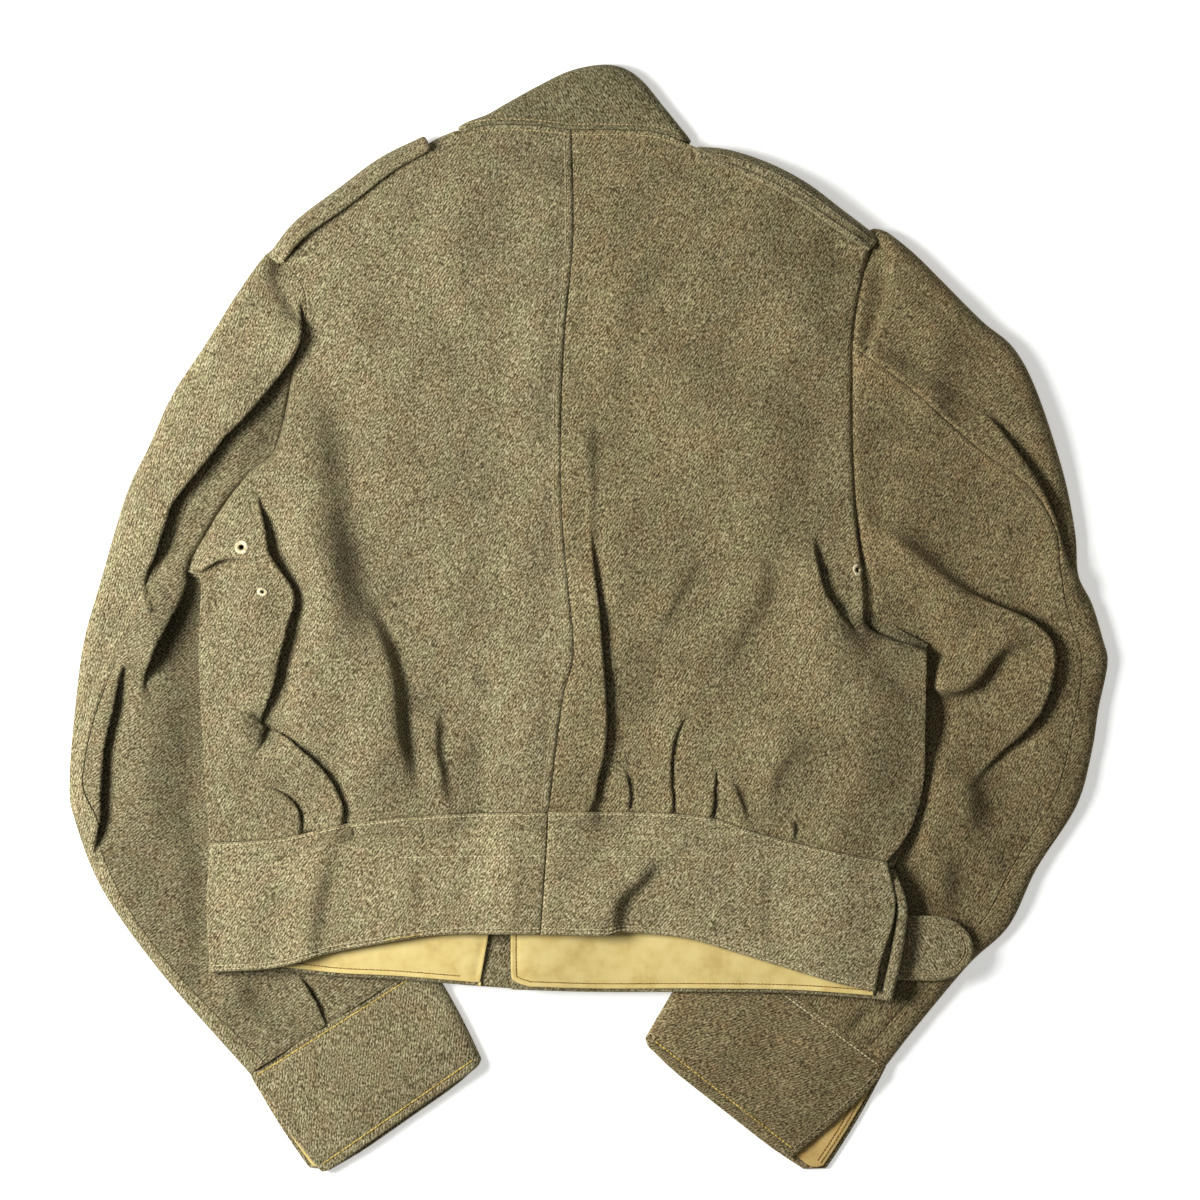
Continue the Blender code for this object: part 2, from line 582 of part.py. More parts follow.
def make_strap(half, stack):
    """Shoulder strap bent round the shoulder edge, with a narrow leaf on the back and a wide one under it."""
    place = curve(half.strap_out, 10.0)
    share = np.linspace(0.0, 1.0, len(place))
    way = np.gradient(place, axis=0)
    way /= np.linalg.norm(way, axis=-1, keepdims=True)
    inward = np.stack([way[:, 1], -way[:, 0]], -1)
    visible = half.strap_width * (0.75 + 0.25 * np.sin(np.pi * share)) - STRAP / 2
    hidden = STRAP_UNDER * smooth(np.minimum(share, 1 - share) / 0.2 + 0.35)
    over = np.array([1.0, 0.62, 0.34, 0.14, 0.03, 0.0])[:, None] * visible
    below = np.array([0.03, 0.1, 0.22, 0.5, 1.0])[:, None] * hidden
    low = STRAP / 2
    middle = (STRAP_TOP + low) / 2
    over_z = middle + (STRAP_TOP - middle) * bend(over, STRAP_BEND)
    below_z = middle - (middle - low) * bend(below, STRAP_BEND)
    depth = np.concatenate([over, below])[..., None] + STRAP / 2
    plan = place + inward * depth
    grid = np.concatenate([plan, np.concatenate([over_z, below_z])[..., None]], -1)
    sheet(half.name + "_shoulder_strap", grid.reshape(-1, 3), grid_faces(*grid.shape[:2]), STRAP)
    leaf = grid[8:].copy()
    leaf[..., 2] += STRAP / 2
    stack.lay(leaf.reshape(-1, 3), grid_faces(*leaf.shape[:2])[:, :3])
    stack.lay(leaf.reshape(-1, 3), grid_faces(*leaf.shape[:2])[:, (0, 2, 3)])


def make_front(half, stack):
    """Plain front panel and front waistband with its facing, lying on the sleeves and the floor."""
    armhole = curve(half.front_armhole, FRONT_STEP)
    way = np.gradient(armhole, axis=0)
    way /= np.linalg.norm(way, axis=-1, keepdims=True)
    out = np.stack([-way[:, 1], way[:, 0]], -1) * (1.0 if half.name == "left" else -1.0)
    share = np.linspace(0.0, 1.0, len(armhole))
    fade = (smooth(3.0 * share - 0.6) * smooth(2.6 - 3.2 * share))[:, None]
    armhole[1:-1] += LAP * fade[1:-1] * out[1:-1]
    waist = curve(half.front_waist, SEAM_STEP)
    side = curve((half.front_waist[-1],) + half.side[1:], FRONT_STEP)
    shoulder = curve(half.shoulder, FRONT_STEP)
    edge = curve(half.front_edge, FRONT_STEP)
    neck = curve(half.front_neck, FRONT_STEP)
    stack.settle(FRONT_STEP + 8.0)
    loop = outline(waist, side, armhole, shoulder[::-1], neck[::-1], edge[::-1])
    loop = draw_back(loop, corners=(armhole[0], armhole[0], armhole[-1], shoulder[0]))
    plan, faces = region(loop, FRONT_STEP)
    on_rim = near(np.vstack([loop, loop[:1]]), plan) < 0.1
    points = with_height(plan, stack.rest(plan, SERGE))
    panel = sheet("front_" + half.name, points, faces, SERGE, upright=on_rim)

    hem = curve(half.front_hem, SEAM_STEP)
    free = curve((half.front_waist[0], half.front_hem[0]), SEAM_STEP)
    end = curve(half.front_end, SEAM_STEP)
    loop = draw_back(outline(waist, end, hem[::-1], free[::-1]))
    band_plan, band_faces = region(loop, BAND_STEP, (end,) if half.name == "right" else (), LIP_WIDE)
    z = stack.rest(band_plan, BAND)
    lip = LIP_RISE * smooth(1 - near(end, band_plan) / LIP_WIDE) * (half.name == "right")
    lip = lip * smooth((np.linalg.norm(band_plan - end[0], axis=1) - 14.0) / 14.0)
    on_rim = near(np.vstack([loop, loop[:1]]), band_plan) < 0.1
    points = with_height(band_plan, z + lip)
    band = sheet("waistband_front_" + half.name, points, band_faces, BAND, upright=on_rim)
    band[:, 2] -= lip
    stack.lay(panel, faces)
    stack.lay(band, band_faces)

    stack.settle(BAND_STEP + 6.0)
    first, last = half.facing
    count = len(hem)
    low = hem[int(first * count):int(last * count)]
    high = low + np.array([0.0, FACING_DEEP])
    low = low + np.array([0.0, FACING_IN])
    loop = outline(low, np.array([low[-1], high[-1]]), high[::-1], np.array([high[0], low[0]]))
    plan, faces = region(loop, BAND_STEP)
    on_rim = near(np.vstack([loop, loop[:1]]), plan) < 0.1
    points = with_height(plan, stack.rest(plan, DRILL))
    facing = sheet("waistband_facing_" + half.name, points, faces, DRILL, SAND, upright=on_rim)
    stack.lay(facing, faces)


def back_height(half, plan, stack, wall):
    """Middle height of the back: on the fronts, with loft, swells and folds, tied at its seams."""
    rest = stack.rest(plan, wall)
    z = rest + LOFT * (0.4 + 0.6 * smooth(near(curve(half.shoulder), plan) / 60.0))
    for swell in SWELLS:
        far = np.hypot((plan[:, 0] - swell.x) / swell.reach_x, (plan[:, 1] - swell.y) / swell.reach_y)
        z = z + swell.height * smooth(1 - far)
    z = np.maximum(z + fold_height(BACK_FOLDS, plan), rest + 1.0)
    z = armhole_height(half, plan, z, 30.0)
    tied = smooth(1 - near(curve(half.neck), plan) / 30.0)
    return np.maximum(z + (NECK_HEIGHT - z) * tied, rest)


def make_back(half, stack):
    """Back panel and back waistband on top of the fronts."""
    waist = curve(half.waist, SEAM_STEP)
    side = curve(half.side, SEAM_STEP)
    armhole = curve(half.armhole, SEAM_STEP)
    shoulder = curve(half.shoulder, SEAM_STEP)
    neck = curve(half.neck, SEAM_STEP)
    centre = curve(CENTRE_SEAM, SEAM_STEP)
    loop = outline(waist, side, armhole, shoulder[::-1], neck[::-1], centre[::-1])
    loop = draw_back(loop, corners=(side[0], side[-1], shoulder[0], shoulder[-1]))
    plan, faces = region(loop, BACK_STEP, (side, shoulder))
    z = back_height(half, plan, stack, SERGE)
    low = stack.rest(plan, 0.0)
    for corner in (side[0], side[-1], shoulder[0], shoulder[-1]):
        low = low + SERGE * smooth(1 - np.linalg.norm(plan - corner, axis=1) / 20.0)
    for edge in (side, shoulder):
        z = low + (z - low) * bend(near(edge, plan))
    on_roll = np.minimum(near(side, plan), near(shoulder, plan)) < 0.25
    on_seam = near(np.vstack([loop, loop[:1]]), plan) < 0.5
    sheet("back_" + half.name, with_height(plan, z), faces, SERGE, upright=on_seam & ~on_roll, level=on_roll)

    hem = curve(half.hem, SEAM_STEP)
    end = curve(half.band_end, SEAM_STEP)
    seam = curve(BAND_SEAM, SEAM_STEP)
    loop = draw_back(outline(waist, end, hem[::-1], seam[::-1]), corners=(waist[-1],))
    plan, faces = region(loop, BAND_STEP, (end,))
    z = back_height(half, plan, stack, BAND)
    low = stack.rest(plan, 0.0)
    z = low + (z - low) * bend(near(end, plan))
    on_roll = near(end, plan) < 0.5
    on_seam = near(np.vstack([loop, loop[:1]]), plan) < 0.5
    points = with_height(plan, z)
    sheet("waistband_back_" + half.name, points, faces, BAND, upright=on_seam & ~on_roll, level=on_roll)


def make_tab(stack, cover):
    """Rounded waist tab that lies on the right sleeve."""
    root = np.array(TAB_ROOT, float)
    tip = np.array(TAB_TIP, float)
    length = np.linalg.norm(tip - root)
    way = (tip - root) / length
    left = np.array([-way[1], way[0]])
    turn = np.linspace(-np.pi / 2, np.pi / 2, 15)
    round_end = root + (length - TAB_ROUND + TAB_ROUND * np.cos(turn))[:, None] * way
    round_end = round_end + TAB_HALF * np.sin(turn)[:, None] * left
    corners = np.array([root + TAB_HALF * left, root - TAB_HALF * left])
    loop = np.vstack([corners[:1], (corners[0] + corners[1])[None] / 2, corners[1:], round_end])
    plan, faces = region(loop, 13.0)
    cover.settle(20.0)
    stack.lay(sheet("waist_tab", with_height(plan, cover.rest(plan, BAND)), faces, BAND), faces)


def make_tunic():
    """Lay the pieces from the floor up."""
    for old in list(bpy.data.objects):
        bpy.data.objects.remove(old, do_unlink=True)
    empty = bpy.data.objects.new("tunic", None)
    bpy.context.scene.collection.objects.link(empty)
    stack = Stack()
    cover = Stack()
    body = body_outline()
    for half in (LEFT, RIGHT):
        make_sleeve(half, stack, cover, body)
        make_cuff(half, stack)
        make_strap(half, stack)
    make_collar(stack)
    make_tab(stack, cover)
    make_front(LEFT, stack)
    make_front(RIGHT, stack)
    stack.settle(BACK_STEP + 8.0)
    make_back(LEFT, stack)
    make_back(RIGHT, stack)


make_tunic()
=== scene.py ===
"""Looks of a battle dress tunic in wool serge, laid flat on a pale floor with its back up.

Sizes on the plan are in millimetres and meshes are in metres. +X runs to the wearer's right, +Y to the
collar and +Z up. Each cut piece has a form, a function of a place on the plan that gives a point of its
middle surface. The form is sampled over a filled outline or a grid and closed into a wall of cloth.
"""

import logging
import math
from collections.abc import Iterable
from dataclasses import dataclass, field
from enum import Enum
from typing import Any, NamedTuple

import bpy
import numpy as np
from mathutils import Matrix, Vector
from mathutils.bvhtree import BVHTree
from mathutils.geometry import delaunay_2d_cdt


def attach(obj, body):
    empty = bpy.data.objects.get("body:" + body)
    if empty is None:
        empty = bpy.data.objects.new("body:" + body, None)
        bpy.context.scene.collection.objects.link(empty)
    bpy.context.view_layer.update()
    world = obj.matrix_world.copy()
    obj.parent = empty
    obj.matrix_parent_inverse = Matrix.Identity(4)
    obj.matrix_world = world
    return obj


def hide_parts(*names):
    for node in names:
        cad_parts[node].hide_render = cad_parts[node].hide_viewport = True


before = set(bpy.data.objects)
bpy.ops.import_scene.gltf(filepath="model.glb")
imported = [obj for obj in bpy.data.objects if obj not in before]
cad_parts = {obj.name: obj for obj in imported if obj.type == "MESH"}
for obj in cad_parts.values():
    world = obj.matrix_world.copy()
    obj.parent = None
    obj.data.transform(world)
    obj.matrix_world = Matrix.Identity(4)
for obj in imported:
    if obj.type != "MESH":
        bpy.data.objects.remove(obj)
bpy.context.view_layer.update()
LOG = logging.getLogger("tunic")

Array = np.ndarray
Route = tuple[tuple[float, float], ...]

# Millimetres in a metre
METRE = 1000.0

# Walls of the cloths and the gaps between them
SERGE = 2.0
BAND = 3.5
CUFF = 3.0
COLLAR = 3.0
STRAP = 4.5
DRILL = 1.2
SEAM_GAP = 0.06
RIM = 0.3
LAY_GAP = 0.5
ROLL = 8.0

# Depths of a rounded edge at which rows of points follow it, as shares of its reach
EDGE_ROWS = (0.03, 0.12, 0.28, 0.48, 0.72, 1.0)

# Places that are compared with a line at a time
BATCH = 6000


class Held(Enum):
    """How a sheet of cloth is held."""

    LAID = "laid"
    FOLDED = "folded"


class Layer(Enum):
    """Upper or lower leaf of a folded piece, with its side of the middle height."""

    UPPER = 1.0
    LOWER = -1.0


class Nearest(NamedTuple):
    """Where places lie beside a line: distance to its right, share along it and its right-hand side."""

    offset: Array
    share: Array
    right: Array


class Section(NamedTuple):
    """Height of a sleeve's upper layer, in mm, at a share along its outer edge."""

    share: float
    rise: float


class Swell(NamedTuple):
    """Broad soft rise of the cloth."""

    x: float
    y: float
    reach_x: float
    reach_y: float
    height: float


def smooth(value: Array) -> Array:
    """Ease from 0 to 1."""
    value = np.clip(value, 0.0, 1.0)
    return value * value * (3.0 - 2.0 * value)


def bend(distance: Array, reach: float = ROLL) -> Array:
    """Quarter of a round edge, from 0 at the edge to 1 at its reach."""
    value = np.clip(distance / reach, 0.0, 1.0)
    return np.sqrt(1.0 - (1.0 - value) ** 2)


def groove(gap: Array, at: float, wide: float) -> Array:
    """Bell curve across a distance: 1 where the groove is, fading within its width."""
    return np.exp(-((gap - at) / wide) ** 2)


def hump(value: Array) -> Array:
    """Half a cosine, from 1 at 0 down to 0 at -1 and 1."""
    return 0.5 + 0.5 * np.cos(np.pi * np.clip(np.abs(value), 0.0, 1.0))


def fading(share: Array, start: float, end: float, fade: float) -> Array:
    """Strength along a route, from its values at both ends up to 1.

    Args:
        share: Shares along the route.
        start: Strength at its start.
        end: Strength at its end.
        fade: Share of the length within which the strength comes up to 1.

    Returns:
        Strengths from 0 to 1.
    """
    rising = start + (1 - start) * smooth(share / fade)
    falling = end + (1 - end) * smooth((1 - share) / fade)
    return np.minimum(rising, falling)


def unit(vectors: Array) -> Array:
    """Vectors made one long."""
    return vectors / np.maximum(np.linalg.norm(vectors, axis=-1, keepdims=True), 1e-9)


def circle(turn: Array) -> Array:
    """Places on a circle with a radius of 1."""
    return np.stack([np.cos(turn), np.sin(turn)], -1)


def batches(plan: Array) -> list[Array]:
    """Places in groups small enough to be compared with a whole line."""
    return np.array_split(plan, len(plan) // BATCH + 1)


def curve(points: Iterable[Any], spacing: float = 4.0) -> Array:
    """Points at an even spacing on a smooth curve through the given points.

    Args:
        points: Places on the plan, in mm.
        spacing: Distance between the points returned, in mm.

    Returns:
        Places on the curve, one row each.
    """
    fixed = np.array(points, float)
    ends = np.vstack([2 * fixed[0] - fixed[1], fixed, 2 * fixed[-1] - fixed[-2]])
    a, b, c, d = (ends[i:len(ends) - 3 + i, None] for i in range(4))
    step = np.linspace(0.0, 1.0, 24, endpoint=False)[None, :, None]
    cubic = (3 * b - a - 3 * c + d) * step ** 3
    square = (2 * a - 5 * b + 4 * c - d) * step ** 2
    line = (0.5 * (2 * b + (c - a) * step + square + cubic)).reshape(-1, 2)
    line = np.vstack([line, fixed[-1:]])
    along = np.concatenate([[0.0], np.cumsum(np.linalg.norm(np.diff(line, axis=0), axis=1))])
    share = np.linspace(0.0, along[-1], max(2, int(round(along[-1] / spacing)) + 1))
    return np.stack([np.interp(share, along, line[:, 0]), np.interp(share, along, line[:, 1])], -1)


def right_of(line: Array) -> Array:
    """Unit vectors to the right of the way walked along a line."""
    way = unit(np.gradient(line, axis=0))
    return np.stack([way[:, 1], -way[:, 0]], -1)


def from_line(line: Array, plan: Array) -> Nearest:
    """Where places on the plan lie beside a line.

    Args:
        line: Points of the line.
        plan: Places, one row each.

    Returns:
        Distance, positive to the right of the way walked, share along the line and the right-hand side.
    """
    step = np.diff(line, axis=0)
    sides = right_of(line)
    found = []
    for places in batches(plan):
        away = places[:, None, :] - line[None, :-1, :]
        part = np.clip((away * step).sum(-1) / (step ** 2).sum(1), 0.0, 1.0)
        gap = np.linalg.norm(away - part[..., None] * step, axis=-1)
        best = gap.argmin(1)
        row = np.arange(len(places))
        turn = away[row, best, 0] * step[best, 1] - away[row, best, 1] * step[best, 0]
        part = part[row, best]
        right = sides[best] * (1 - part[:, None]) + sides[best + 1] * part[:, None]
        offset = np.where(turn < 0, -1.0, 1.0) * gap[row, best]
        found.append((offset, (best + part) / len(step), right))
    return Nearest(*(np.concatenate(column) for column in zip(*found)))


def near(line: Array, plan: Array) -> Array:
    """Plain distance of places from a line."""
    return np.abs(from_line(line, plan).offset)


def shifted(line: Array, far: float) -> Array:
    """Points of a line moved to its right."""
    return line + far * right_of(line)


def beside(line: Array, offsets: Iterable[float]) -> list[Array]:
    """Rows of points that follow a line at distances to its right."""
    return [shifted(line, offset) for offset in offsets]


def both_sides(line: Array, gaps: Iterable[float]) -> list[Array]:
    """Rows of points that follow a line at distances to its left and right."""
    return beside(line, [turn * gap for gap in gaps for turn in (-1.0, 1.0)])


def rolled(line: Array, reach: float = ROLL) -> list[Array]:
    """Rows of points that follow an edge which is rounded within a reach."""
    return both_sides(line, [share * reach for share in EDGE_ROWS])


def inside(loop: Array, plan: Array) -> Array:
    """Whether places lie inside a closed outline."""
    after = np.roll(loop, -1, axis=0)
    rise = np.where(after[:, 1] == loop[:, 1], 1e-9, after[:, 1] - loop[:, 1])
    found = []
    for places in batches(plan):
        x = places[:, :1]
        y = places[:, 1:]
        spans = (loop[:, 1] > y) != (after[:, 1] > y)
        cross = loop[:, 0] + (y - loop[:, 1]) * (after[:, 0] - loop[:, 0]) / rise
        found.append((spans & (x < cross)).sum(1) % 2 == 1)
    return np.concatenate(found)


def closed(loop: Array) -> Array:
    """Outline with its first point repeated at the end."""
    return np.vstack([loop, loop[:1]])


def outline(*edges: Array) -> Array:
    """Close edges, each one ending where the next starts, into one anticlockwise outline."""
    loop = np.vstack([edge[:-1] for edge in edges])
    after = np.roll(loop, -1, axis=0)
    area = (loop[:, 0] * after[:, 1] - after[:, 0] * loop[:, 1]).sum()
    return loop if area > 0 else loop[::-1]


def unrolled(part: Array) -> Array:
    """Part of a closed outline, started after its widest gap and without doubled points."""
    part = part[np.linalg.norm(part - np.roll(part, 1, axis=0), axis=1) > 1e-6]
    widest = np.linalg.norm(part - np.roll(part, 1, axis=0), axis=1).argmax()
    return np.roll(part, -int(widest), axis=0)


def draw_back(loop: Array, gap: float, keep: Array | None = None) -> Array:
    """Move an outline in by a gap, and not along the line that is kept.

    Args:
        loop: Anticlockwise outline.
        gap: Distance, in mm.
        keep: Line whose points stay in place.

    Returns:
        The moved outline.
    """
    ahead = unit(np.roll(loop, -1, axis=0) - loop)
    way = unit(ahead + np.roll(ahead, 1, axis=0))
    moved = loop + gap * np.stack([-way[:, 1], way[:, 0]], -1)
    if keep is None:
        return moved
    return np.where((near(keep, loop) < 0.01)[:, None], loop, moved)


def thin(points: Array, cell: float) -> Array:
    """Keep one point in each cell of a grid."""
    number = np.rint(points / cell).astype(np.int64)
    first = np.unique(number, axis=0, return_index=True)[1]
    return points[np.sort(first)]


def fill(loop: Array, spacing: float, rows: Iterable[Array] = (),
         holes: Iterable[Array] = ()) -> tuple[Array, Array]:
    """Triangles that fill an outline.

    The points are those of the outline, rows that follow folds and seams, rings round the holes, and a
    triangular grid in what is left.

    Args:
        loop: Anticlockwise outline.
        spacing: Distance between the points of the grid, in mm.
        rows: Lines of points to keep in the mesh.
        holes: Closed rings that are cut out.

    Returns:
        Places on the plan and the triangles between them.
    """
    rings = list(holes)
    wanted = np.vstack([np.zeros((0, 2)), *rows])
    wanted = thin(wanted[inside(loop, wanted)], 1.0)
    wanted = wanted[near(closed(loop), wanted) > 0.2]
    across = np.arange(loop[:, 0].min(), loop[:, 0].max(), spacing)
    up = np.arange(loop[:, 1].min(), loop[:, 1].max(), spacing * 0.866)
    x, y = np.meshgrid(across, up)
    x[1::2] += spacing / 2
    grid = np.stack([x.ravel(), y.ravel()], -1)
    grid = grid[inside(loop, grid)]
    grid = grid[near(closed(loop), grid) > 0.55 * spacing]
    low = loop.min(0) - 3 * spacing
    size = np.ceil((loop.max(0) + 3 * spacing - low)).astype(int) + 1
    taken = np.zeros(size, bool)
    reach = int(round(0.55 * spacing))
    spot = np.rint(wanted - low).astype(int)
    for over in range(-reach, reach + 1):
        for up_by in range(-reach, reach + 1):
            taken[spot[:, 0] + over, spot[:, 1] + up_by] = True
    spot = np.rint(grid - low).astype(int)
    grid = grid[~taken[spot[:, 0], spot[:, 1]]]
    free = np.vstack([wanted, grid])
    for ring in rings:
        free = free[np.linalg.norm(free - ring.mean(0), axis=1)
                    > np.linalg.norm(ring - ring.mean(0), axis=1).max() + 0.3]
    points = np.vstack([loop, *rings, free])
    number = list(range(len(loop)))
    edges = list(zip(number, number[1:] + number[:1]))
    first = len(loop)
    for ring in rings:
        turn = list(range(first, first + len(ring)))
        edges += list(zip(turn, turn[1:] + turn[:1]))
        first += len(ring)
    places = [Vector(point) for point in points.tolist()]
    made = delaunay_2d_cdt(places, edges, [number], 1, 1e-5)
    plan = np.array([tuple(place) for place in made[0]])
    faces = np.array([tuple(face) for face in made[2]])
    for ring in rings:
        faces = faces[~inside(ring, plan[faces].mean(1))]
    used, faces = np.unique(faces, return_inverse=True)
    return plan[used], faces.reshape(-1, 3)


def four_sided(*corners: Array) -> Array:
    """Faces from four arrays with the numbers of their corners."""
    return np.stack([corner.ravel() for corner in corners], 1)


def grid_faces(rows: int, columns: int) -> Array:
    """Four-sided faces of a grid of points."""
    number = np.arange(rows * columns).reshape(rows, columns)
    return four_sided(number[:-1, :-1], number[1:, :-1], number[1:, 1:], number[:-1, 1:])


def as_triangles(faces: Array) -> Array:
    """Two triangles for each four-sided face."""
    return np.vstack([faces[:, :3], faces[:, (0, 2, 3)]])


def with_height(plan: Array, height: Array) -> Array:
    """Points from places on the plan and their heights."""
    return np.concatenate([plan, np.asarray(height)[:, None]], 1)


def fold_together(first: Array, first_faces: Array, second: Array, second_faces: Array,
                  fold: Array) -> tuple[Array, Array]:
    """Join two leaves along their fold, the second turned over.

    Args:
        first: Points of the upper leaf.
        first_faces: Its triangles.
        second: Points of the lower leaf.
        second_faces: Its triangles.
        fold: Places on the fold, which both leaves have.

    Returns:
        Points and triangles of the joined piece.
    """
    here = np.linalg.norm(first[None, :, :2] - fold[:, None], axis=-1).argmin(1)
    there = np.linalg.norm(second[None, :, :2] - fold[:, None], axis=-1).argmin(1)
    number = len(first) + np.arange(len(second))
    number[there] = here
    faces = np.vstack([first_faces, number[second_faces[:, ::-1]]])
    used, faces = np.unique(faces, return_inverse=True)
    return np.vstack([first, second])[used], faces.reshape(-1, 3)


@dataclass(frozen=True)
class Fold:
    """Fold of cloth that leans over its steep side.

    The route is the foot of the steep side, which lies to the right of the way walked. Across it the
    height follows half a cosine, steep on one side of the crest and gentle on the other, the crest is
    pushed sideways over the foot, and a trough runs beside the foot.
    """

    height: float
    steep: float
    gentle: float
    route: Route
    lean: float = 0.0
    trough: float = 0.0
    hollow: float = 8.0
    start: float = 0.0
    end: float = 0.0
    fade: float = 0.35

    def shift(self, plan: Array) -> Array:
        """Movement of places on the plan in x, y and z."""
        offset, share, right = from_line(curve(self.route), plan)
        fade = fading(share, self.start, self.end, self.fade)
        across = offset + self.steep
        crest = hump(across / np.where(across > 0, self.steep, self.gentle))
        dip = smooth(1 + offset / self.steep) * smooth(1 - offset / self.hollow)
        side = right * (self.lean * fade * crest ** 2)[:, None]
        return with_height(side, fade * (self.height * crest - self.trough * dip))

    def rows(self) -> list[Array]:
        """Rows of mesh points that follow the fold."""
        shares = (-2.6, -1.8, -1.3, -1.0, -0.75, -0.5, -0.25, 0.0, 0.4, 0.9, 1.6)
        return beside(curve(self.route, 2.6), [share * self.steep for share in shares])


@dataclass(frozen=True)
class Crease:
    """Soft ridge, or trough where the height is below zero, along a route."""

    height: float
    wide: float
    route: Route
    start: float = 0.0
    end: float = 0.0
    fade: float = 0.4

    def shift(self, plan: Array) -> Array:
        """Movement of places on the plan in x, y and z."""
        offset, share, _ = from_line(curve(self.route), plan)
        lift = self.height * hump(offset / self.wide) * fading(share, self.start, self.end, self.fade)
        return with_height(np.zeros_like(plan), lift)

    def rows(self) -> list[Array]:
        """Rows of mesh points that follow the crease, where it is narrow enough to need them."""
        shares = (-0.7, -0.35, 0.0, 0.35, 0.7) if self.wide < 9.0 else ()
        return beside(curve(self.route, 3.0), [share * self.wide for share in shares])


Wrinkle = Fold | Crease


def swelled(swells: Iterable[Swell], plan: Array) -> Array:
    """Sum of soft round rises at places on the plan."""
    total = np.zeros(len(plan))
    for swell in swells:
        far = np.hypot((plan[:, 0] - swell.x) / swell.reach_x, (plan[:, 1] - swell.y) / swell.reach_y)
        total += swell.height * smooth(1 - far)
    return total


def moved_by(wrinkles: Iterable[Wrinkle], plan: Array) -> Array:
    """Movement of places by all wrinkles together."""
    return sum((wrinkle.shift(plan) for wrinkle in wrinkles), np.zeros((len(plan), 3)))


def rows_of(wrinkles: Iterable[Wrinkle]) -> list[Array]:
    """Rows of mesh points that follow the wrinkles."""
    return [row for wrinkle in wrinkles for row in wrinkle.rows()]


def ripple(plan: Array, seed: int, tall: float = 0.5) -> Array:
    """Uneven lie of cloth: waves of 28 to 110 mm in many directions, added up.

    Args:
        plan: Places, one row each.
        seed: Number that picks the waves.
        tall: Height of the sum, in mm.

    Returns:
        Heights, in mm.
    """
    pick = np.random.default_rng(seed)
    length = np.geomspace(28.0, 110.0, 14)
    turn, phase = (pick.uniform(0.0, 2 * np.pi, len(length)) for _ in range(2))
    wave = circle(turn) * (2 * np.pi / length)[:, None]
    share = length / length.max()
    return tall * (np.sin(plan @ wave.T + phase) * share).sum(1) / np.sqrt((share ** 2).sum())


@dataclass(frozen=True)
class Half:
    """Tables of one half of the tunic: seams and edges on the plan, in mm."""

    name: str
    waist: Route
    side: Route
    armhole: Route
    front_armhole: Route
    neck: Route
    front_neck: Route
    shoulder: Route
    front_edge: Route
    hem: Route
    band_end: Route
    front_hem: Route
    front_waist: Route
    front_end: Route
    outer: Route
    inner: Route
    hind_seam: Route
    cuff: Route
    seam_ends: float
    vent: float
    facing: tuple[float, float]
    facing_lean: float
    facing_round: float
    strap_out: Route
    strap_width: float
    armhole_shows: float
    armhole_deep: float
    sags: Route
    front_sags: Route
    front_low: float
    sections: tuple[Section, ...]
    wrinkles: tuple[Wrinkle, ...]


# Centre back seam, from the waist to the neck, and down the waistband to the hem
CENTRE_SEAM = ((-26, -124), (-17, -51), (-12, -23), (-15, 26), (-18, 103), (-16, 178), (-10, 247),
               (-11, 318))
BAND_SEAM = ((-26, -124), (-28, -162), (-31, -203))

# Top edge of the collar from left to right, and its edge under the fronts
COLLAR_TOP = ((-83, 319.5), (-77, 322.5), (-65, 327), (-51, 335), (-31, 346), (-12, 355), (8, 359),
              (22, 357), (34, 349), (48, 332), (65, 311))
COLLAR_UNDER = ((-84, 310), (-60, 285), (-12, 262), (35, 275), (61, 302))

# Height of the armhole seam by its share from the underarm to the shoulder
ARMHOLE_SHARE = (0.0, 0.05, 0.2, 0.6, 0.93, 1.0)
ARMHOLE_HEIGHT = (7.0, 11.0, 14.0, 14.0, 12.0, 4.5)
# Distances from that seam at which rows of points follow it
ARMHOLE_ROWS = (0.9, 1.7, 2.8, 4.4)

# Reach of a sag, in mm
SAG_REACH = 13.0

SWELLS = (
    Swell(x=-90, y=120, reach_x=120, reach_y=150, height=5),
    Swell(x=80, y=110, reach_x=110, reach_y=150, height=6),
    Swell(x=-150, y=-60, reach_x=100, reach_y=70, height=4),
    Swell(x=130, y=-70, reach_x=90, reach_y=70, height=2),
)

# Painted shade and light: wool painted darker where shade falls, in the underarm pockets, in crevices and
# beside the body's edges, and broad areas painted darker or lighter; height below 0 darkens the wool and
# above 0 pales it
PAINTED_SHADE_AND_LIGHT = (
    Swell(x=-223, y=-40, reach_x=60, reach_y=100, height=-0.32),
    Swell(x=-196, y=122, reach_x=48, reach_y=65, height=-0.5),
    Swell(x=-285, y=-160, reach_x=65, reach_y=95, height=-0.18),
    Swell(x=-200, y=-117, reach_x=55, reach_y=45, height=-0.25),
    Swell(x=-207, y=-185, reach_x=65, reach_y=48, height=-0.25),
    Swell(x=-269, y=-4, reach_x=24, reach_y=48, height=-0.8),
    Swell(x=-265, y=-65, reach_x=26, reach_y=75, height=-0.4),
    Swell(x=-57, y=0, reach_x=85, reach_y=160, height=0.14),
    Swell(x=320, y=40, reach_x=34, reach_y=130, height=0.3),
    Swell(x=262, y=-135, reach_x=65, reach_y=65, height=0.12),
    Swell(x=95, y=-20, reach_x=45, reach_y=80, height=-0.18),
    Swell(x=179, y=-7, reach_x=22, reach_y=17, height=-1.2),
    Swell(x=205, y=-18, reach_x=24, reach_y=12, height=-0.6),
    Swell(x=-214, y=-70, reach_x=16, reach_y=14, height=-0.7),
)

